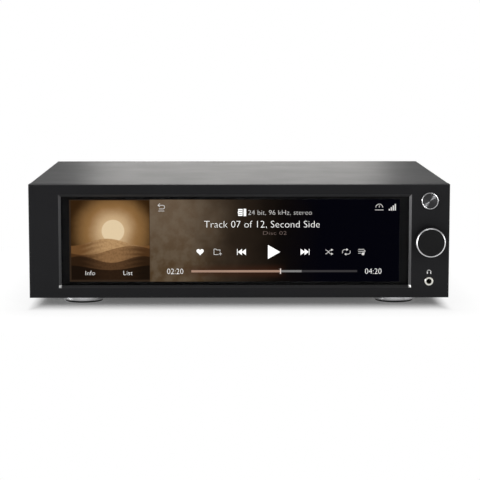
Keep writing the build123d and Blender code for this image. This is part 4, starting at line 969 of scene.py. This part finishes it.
def rear_words(name, text, x, z):
    """Words printed on the rear panel, their middle at x and z in metres."""
    make_piece(name, lettering(text, WORD_HEIGHT, INK), ((x, rear_y, z), REAR_AXES), ink_finish)


for node_name, text in (
    ("lan_port", "LAN"),
    ("usb_port", "DATA"),
    ("video_port", "VIDEO"),
    ("optical_port", "OPTICAL"),
    ("coax_jack", "COAX"),
    ("line_out_jacks", "LINE OUT"),
    ("line_in_jacks", "LINE IN"),
    ("mains_inlet", "MAINS"),
):
    word_z = node_box(node_name)[1][2] + WORD_GAP * MM
    rear_words(f"{node_name}_words", text, node_middle(node_name)[0], word_z)
for node_name in ("line_out_jacks", "line_in_jacks"):
    low, high = node_box(node_name)
    letter_x = node_middle(node_name)[0] + LETTER_ASIDE * MM
    rear_words(f"{node_name}_left_word", "L", letter_x, high[2] - LETTER_INSET * MM)
    rear_words(f"{node_name}_right_word", "R", letter_x, low[2] + LETTER_INSET * MM)

# %% [markdown]
# ## Contacts in the sockets
# Seen from behind, a socket without its contacts looks like an empty hole. They are a few dozen
# gilded strips, each a stroke or a plate, joined to one piece a socket.

# %% Network contacts: eight sprung wires that slope up into the mouth
LAN_WIRES, LAN_STEP, LAN_WIDE, LAN_THICK = 8, 1.02, 0.45, 0.3


def mouth(name):
    """The middle of a socket's mouth: its box's middle, at the box's rearmost y."""
    middle = node_middle(name)
    return np.array([middle[0], node_box(name)[1][1], middle[2]])


lan_mouth = mouth("lan_port")
lan_floor = node_box("lan_port")[0][2]
lan_spot = ((lan_mouth[0], lan_mouth[1], lan_floor), SIDEWAYS_AXES)
spring = [(1.2, 2.3), (2.6, 2.3), (8.6, 5.0), (9.6, 4.8), (10.4, 4.0)]
first = -(LAN_WIRES - 1) / 2 * LAN_STEP - LAN_WIDE / 2
lan_wires = [
    stroke(spring, LAN_THICK, LAN_WIDE, floor=first + number * LAN_STEP) for number in range(LAN_WIRES)
]
make_piece("lan_contacts", joined(lan_wires), lan_spot, gold_finish)

# %% Data and video contacts: strips along the tongues
STRIP = 0.08
USB_HALF_STEP, USB_PLACES, USB_STRIP, USB_IN = 3.9, (-3.5, -1.0, 1.0, 3.5), (1.0, 7.0), 4.8
VIDEO_HALF, VIDEO_STEP, VIDEO_STRIPS, VIDEO_STRIP, VIDEO_IN = 0.6, 0.97, 10, (0.4, 6.6), 4.2
usb_strips = [
    plate(rectangle((x, USB_IN), *USB_STRIP), STRIP, level - STRIP)
    for level in (-USB_HALF_STEP, USB_HALF_STEP)
    for x in USB_PLACES
]
usb_spot = (mouth("usb_port"), INWARD_AXES)
make_piece("usb_contacts", joined(usb_strips), usb_spot, gold_finish)
video_strips = [
    plate(rectangle((VIDEO_STEP * (number - (VIDEO_STRIPS - 1) / 2), VIDEO_IN), *VIDEO_STRIP), STRIP, level)
    for level in (-VIDEO_HALF - STRIP, VIDEO_HALF)
    for number in range(VIDEO_STRIPS)
]
video_spot = (mouth("video_port"), INWARD_AXES)
make_piece("video_contacts", joined(video_strips), video_spot, gold_finish)

# %% Rocker marks: a line and a ring of white ink on the two halves of its shallow V
PIVOT_DEPTH, ROCKER_FACE, ROCKER_TILT = 2.6, 2.6, math.radians(10.0)
MARK_RISE, LINE_SIZE, RING_RADIUS, RING_WIDTH = 4.0, (0.7, 3.0), 1.4, 0.6
pivot = mouth("rocker_housing") - (0, PIVOT_DEPTH * MM, 0)


def rocker_spot(half):
    """A spot on one half of the rocker's V, where half is 1 for the upper and -1 for the lower."""
    lean = ROCKER_TILT * (1 - half)
    out = np.array([0, math.cos(lean), math.sin(lean)])
    up = np.array([0, -math.sin(lean), math.cos(lean)])
    middle = np.array([0, math.cos(ROCKER_TILT), math.sin(ROCKER_TILT)])
    return pivot + middle * ROCKER_FACE * MM, [(-MM, 0, 0), up * MM, out * MM]


on_mark = plate(rectangle((0, MARK_RISE), *LINE_SIZE), INK)
make_piece("rocker_on_mark", on_mark, rocker_spot(1), ink_finish, "rocker_body")
off_mark = stroke(arc((0, -MARK_RISE), RING_RADIUS, 0, 352, 32), RING_WIDTH, INK, closed=True)
make_piece("rocker_off_mark", off_mark, rocker_spot(-1), ink_finish, "rocker_body")

# %% [markdown]
# ## Table, light and camera
# The streamer stands on a white table. Under it the table is really lit, so its shadow stays, and
# beside it, in front of it and further out the table turns to plain white for the camera and for
# reflections. Soft lamps stand left and right in front, one hangs over it, and one low behind draws
# the sheen on top. Three more light only the parts that they name, which Blender calls light
# linking: a small one draws the streak on the power button, and two low ones brighten the bevel,
# the knob's ring and the feet. If they lit everything, they would glare on the top cover.

# %% Rays: which are seen, which are reflected and which come off the smooth glass
COATED_LEVEL = 0.02
WHITE = (1.0, 1.0, 1.0)


def ray_kinds(wire):
    """1 for the camera's own rays, for reflected or refracted rays, and for the glass's mirror rays,
    which are singular but don't come straight from the camera."""
    path = wire.add("ShaderNodeLightPath").outputs
    reflected = wire.math("MAXIMUM", path["Is Glossy Ray"], path["Is Transmission Ray"])
    sharp = wire.math("SUBTRACT", path["Is Singular Ray"], path["Is Camera Ray"], clamp=True)
    return path["Is Camera Ray"], reflected, sharp


def shine_white(wire, strength):
    """A plain white light of a strength."""
    return wire.add("ShaderNodeEmission", [WHITE, strength]).outputs[0]


def mix_shaders(wire, share, first, second):
    """A mix of two shaders."""
    return wire.add("ShaderNodeMixShader", [share, first, second]).outputs[0]


print("the coated glass mirrors", COATED_LEVEL, "of the room")

# %% Table
TABLE_REACH = 8.0
table_points = np.column_stack([rectangle((0, 0), 2 * TABLE_REACH, 2 * TABLE_REACH), np.zeros(4)])
table_mesh = bpy.data.meshes.new("table")
table_mesh.from_pydata(table_points.tolist(), [], [[0, 1, 2, 3]])
table = bpy.data.objects.new("table", table_mesh)
bpy.context.scene.collection.objects.link(table)
table_material = bpy.data.materials.new("white_table")
table_material.use_nodes = True
table_mesh.materials.append(table_material)
print("table", 2 * TABLE_REACH, "m wide")

# %% Where the table is plain white: far off, beside the case and in front of it
HALF_WIDE, HALF_DEEP = cad_box[1][0], cad_box[1][1]
FAR_REACH, WHITEST = 0.10, 0.85
BESIDE = (HALF_WIDE - 0.009, HALF_WIDE + 0.002)
AHEAD = (HALF_DEEP - 0.014, HALF_DEEP + 0.013)
FRONT_FADE, FRONT_LEVEL = (-0.5, -0.12), 0.30
wire = Wiring(table_material.node_tree)
wire.nodes.clear()
part = wire.axes()
camera_ray, reflected, sharp = ray_kinds(wire)
side_off = wire.math("ABSOLUTE", part[0])
out_y = wire.above(wire.math("ABSOLUTE", part[1]), HALF_DEEP)
distance = wire.length(wire.above(side_off, HALF_WIDE), out_y)
beside = wire.smooth(side_off, *BESIDE, 0.0, WHITEST)
ahead = wire.smooth(wire.math("MULTIPLY", part[1], -1.0), *AHEAD, 0.0, WHITEST)
far_off = wire.smooth(distance, 0.0, FAR_REACH)
open_table = wire.math("MAXIMUM", wire.math("MAXIMUM", far_off, beside), ahead)
dimmed = wire.math("MULTIPLY", reflected, wire.smooth(part[1], *FRONT_FADE, FRONT_LEVEL, 1.0))
seen = wire.math("MAXIMUM", camera_ray, dimmed)
print("white beside the case from x", round(BESIDE[1] / MM, 1))

# %% The table's shader: paper, a little lift, plain white, and nothing from below
TABLE_LIFT = 0.12
paper = wire.add("ShaderNodeBsdfDiffuse", [(0.93, 0.93, 0.93)]).outputs[0]
lift = shine_white(wire, wire.math("MULTIPLY", seen, TABLE_LIFT))
near = wire.add("ShaderNodeAddShader", [paper, lift]).outputs[0]
shown = mix_shaders(wire, wire.math("MULTIPLY", open_table, seen), near, shine_white(wire, 1.0))
shown = mix_shaders(wire, sharp, shown, shine_white(wire, COATED_LEVEL))
under = wire.add("ShaderNodeNewGeometry").outputs["Backfacing"]
through = wire.add("ShaderNodeBsdfTransparent").outputs[0]
wire.add("ShaderNodeOutputMaterial", [mix_shaders(wire, under, shown, through)])
print("table shader of", len(wire.nodes), "nodes")

# %% World: white behind the streamer, darker overhead and in front for reflections
HORIZON, OVERHEAD_LEVEL = (0.03, 0.13), 0.16
BEHIND, AHEAD_LEVEL = (-0.2, 0.5), 0.30
ZENITH, ZENITH_LEVEL = (0.45, 0.85), 0.25
AMBIENT = 0.30
world = bpy.data.worlds.new("studio")
bpy.context.scene.world = world
world.use_nodes = True
wire = Wiring(world.node_tree)
wire.nodes.clear()
part = wire.axes("Generated")
camera_ray, reflected, sharp = ray_kinds(wire)
low_down = wire.smooth(part[2], *HORIZON, 1.0, OVERHEAD_LEVEL)
behind = wire.smooth(part[1], *BEHIND, AHEAD_LEVEL, 1.0)
zenith = wire.smooth(part[2], *ZENITH, 0.0, ZENITH_LEVEL)
mirrored = wire.math("ADD", wire.math("MULTIPLY", low_down, behind), zenith)
mirrored = wire.math("MULTIPLY", mirrored, wire.math("MULTIPLY_ADD", sharp, COATED_LEVEL - 1.0, 1.0))
level = wire.math("ADD", wire.math("MULTIPLY", mirrored, reflected), camera_ray)
others = wire.math("SUBTRACT", 1.0, wire.math("MAXIMUM", reflected, camera_ray))
total = wire.math("MULTIPLY_ADD", others, AMBIENT, level)
sky = wire.add("ShaderNodeBackground", [WHITE, total]).outputs[0]
wire.add("ShaderNodeOutputWorld", [sky])
print("world of", len(wire.nodes), "nodes")

# %% Lamps
BRIGHT_PARTS = (
    "front_panel volume_knob power_button headphone_sleeve "
    "foot_front_left foot_front_right foot_rear_left foot_rear_right"
)
STREAMER_MIDDLE = (0.0, 0.0, mid_z)
TOP_REAR = (0.0, 0.05, 0.08)
WARM_WHITE = (1.0, 0.98, 0.95)


def lamp(name, place, wide, high, power, aim=STREAMER_MIDDLE, colour=WHITE, only=""):
    """A soft rectangular lamp, in metres and watts, aimed at a point. It lights all the streamer
    and its table, or only the nodes that are named."""
    data = bpy.data.lights.new(name, "AREA")
    data.shape = "RECTANGLE"
    data.size, data.size_y = wide, high
    data.energy = power
    data.color = colour
    holder = bpy.data.objects.new(name, data)
    holder.location = place
    holder.rotation_euler = (Vector(aim) - Vector(place)).to_track_quat("-Z", "Y").to_euler()
    bpy.context.scene.collection.objects.link(holder)
    if only:
        receivers = bpy.data.collections.new(f"{name}_receivers")
        holder.light_linking.receiver_collection = receivers
        for node_name in only.split():
            receivers.objects.link(nodes[node_name])
    print("lamp", name, "of", power, "W on", only or "everything")


lamp("left_lamp", (-1.1, -0.75, 0.55), 0.6, 0.6, 3.5)
lamp("right_lamp", (0.90, -1.15, 0.55), 0.6, 0.6, 3.9)
lamp("button_lamp", (0.576, -1.467, 0.207), 0.20, 0.20, 8.0, only="power_button")
lamp("left_low_lamp", (-1.0, -0.25, 0.17), 0.55, 0.34, 6.8, only=BRIGHT_PARTS)
lamp("right_low_lamp", (1.0, -0.25, 0.20), 0.60, 0.40, 2.4, only=BRIGHT_PARTS)
lamp("top_lamp", (0.0, 0.38, 1.22), 0.5, 0.5, 13.4)
lamp("rear_lamp", (0.005, 0.75, 0.20), 0.34, 0.14, 0.36, aim=TOP_REAR, colour=WARM_WHITE)

# %% Camera: a long lens a little above the streamer, tilted down at it
LENS_MM, SENSOR_MM = 128.2, 36.0
CAMERA_PLACE = (-0.0091, -1.2219, 0.1813)
PITCH, YAW = math.radians(-6.98), math.radians(0.487)
NEAREST, FURTHEST = 0.05, 50.0
camera_data = bpy.data.cameras.new("camera")
camera_data.lens, camera_data.sensor_width = LENS_MM, SENSOR_MM
camera_data.clip_start, camera_data.clip_end = NEAREST, FURTHEST
camera = bpy.data.objects.new("camera", camera_data)
camera.location = CAMERA_PLACE
camera.rotation_euler = (math.pi / 2 + PITCH, 0.0, -YAW)
bpy.context.scene.collection.objects.link(camera)
bpy.context.scene.camera = camera
bpy.context.scene.view_settings.view_transform = "Standard"
print("camera", CAMERA_PLACE)
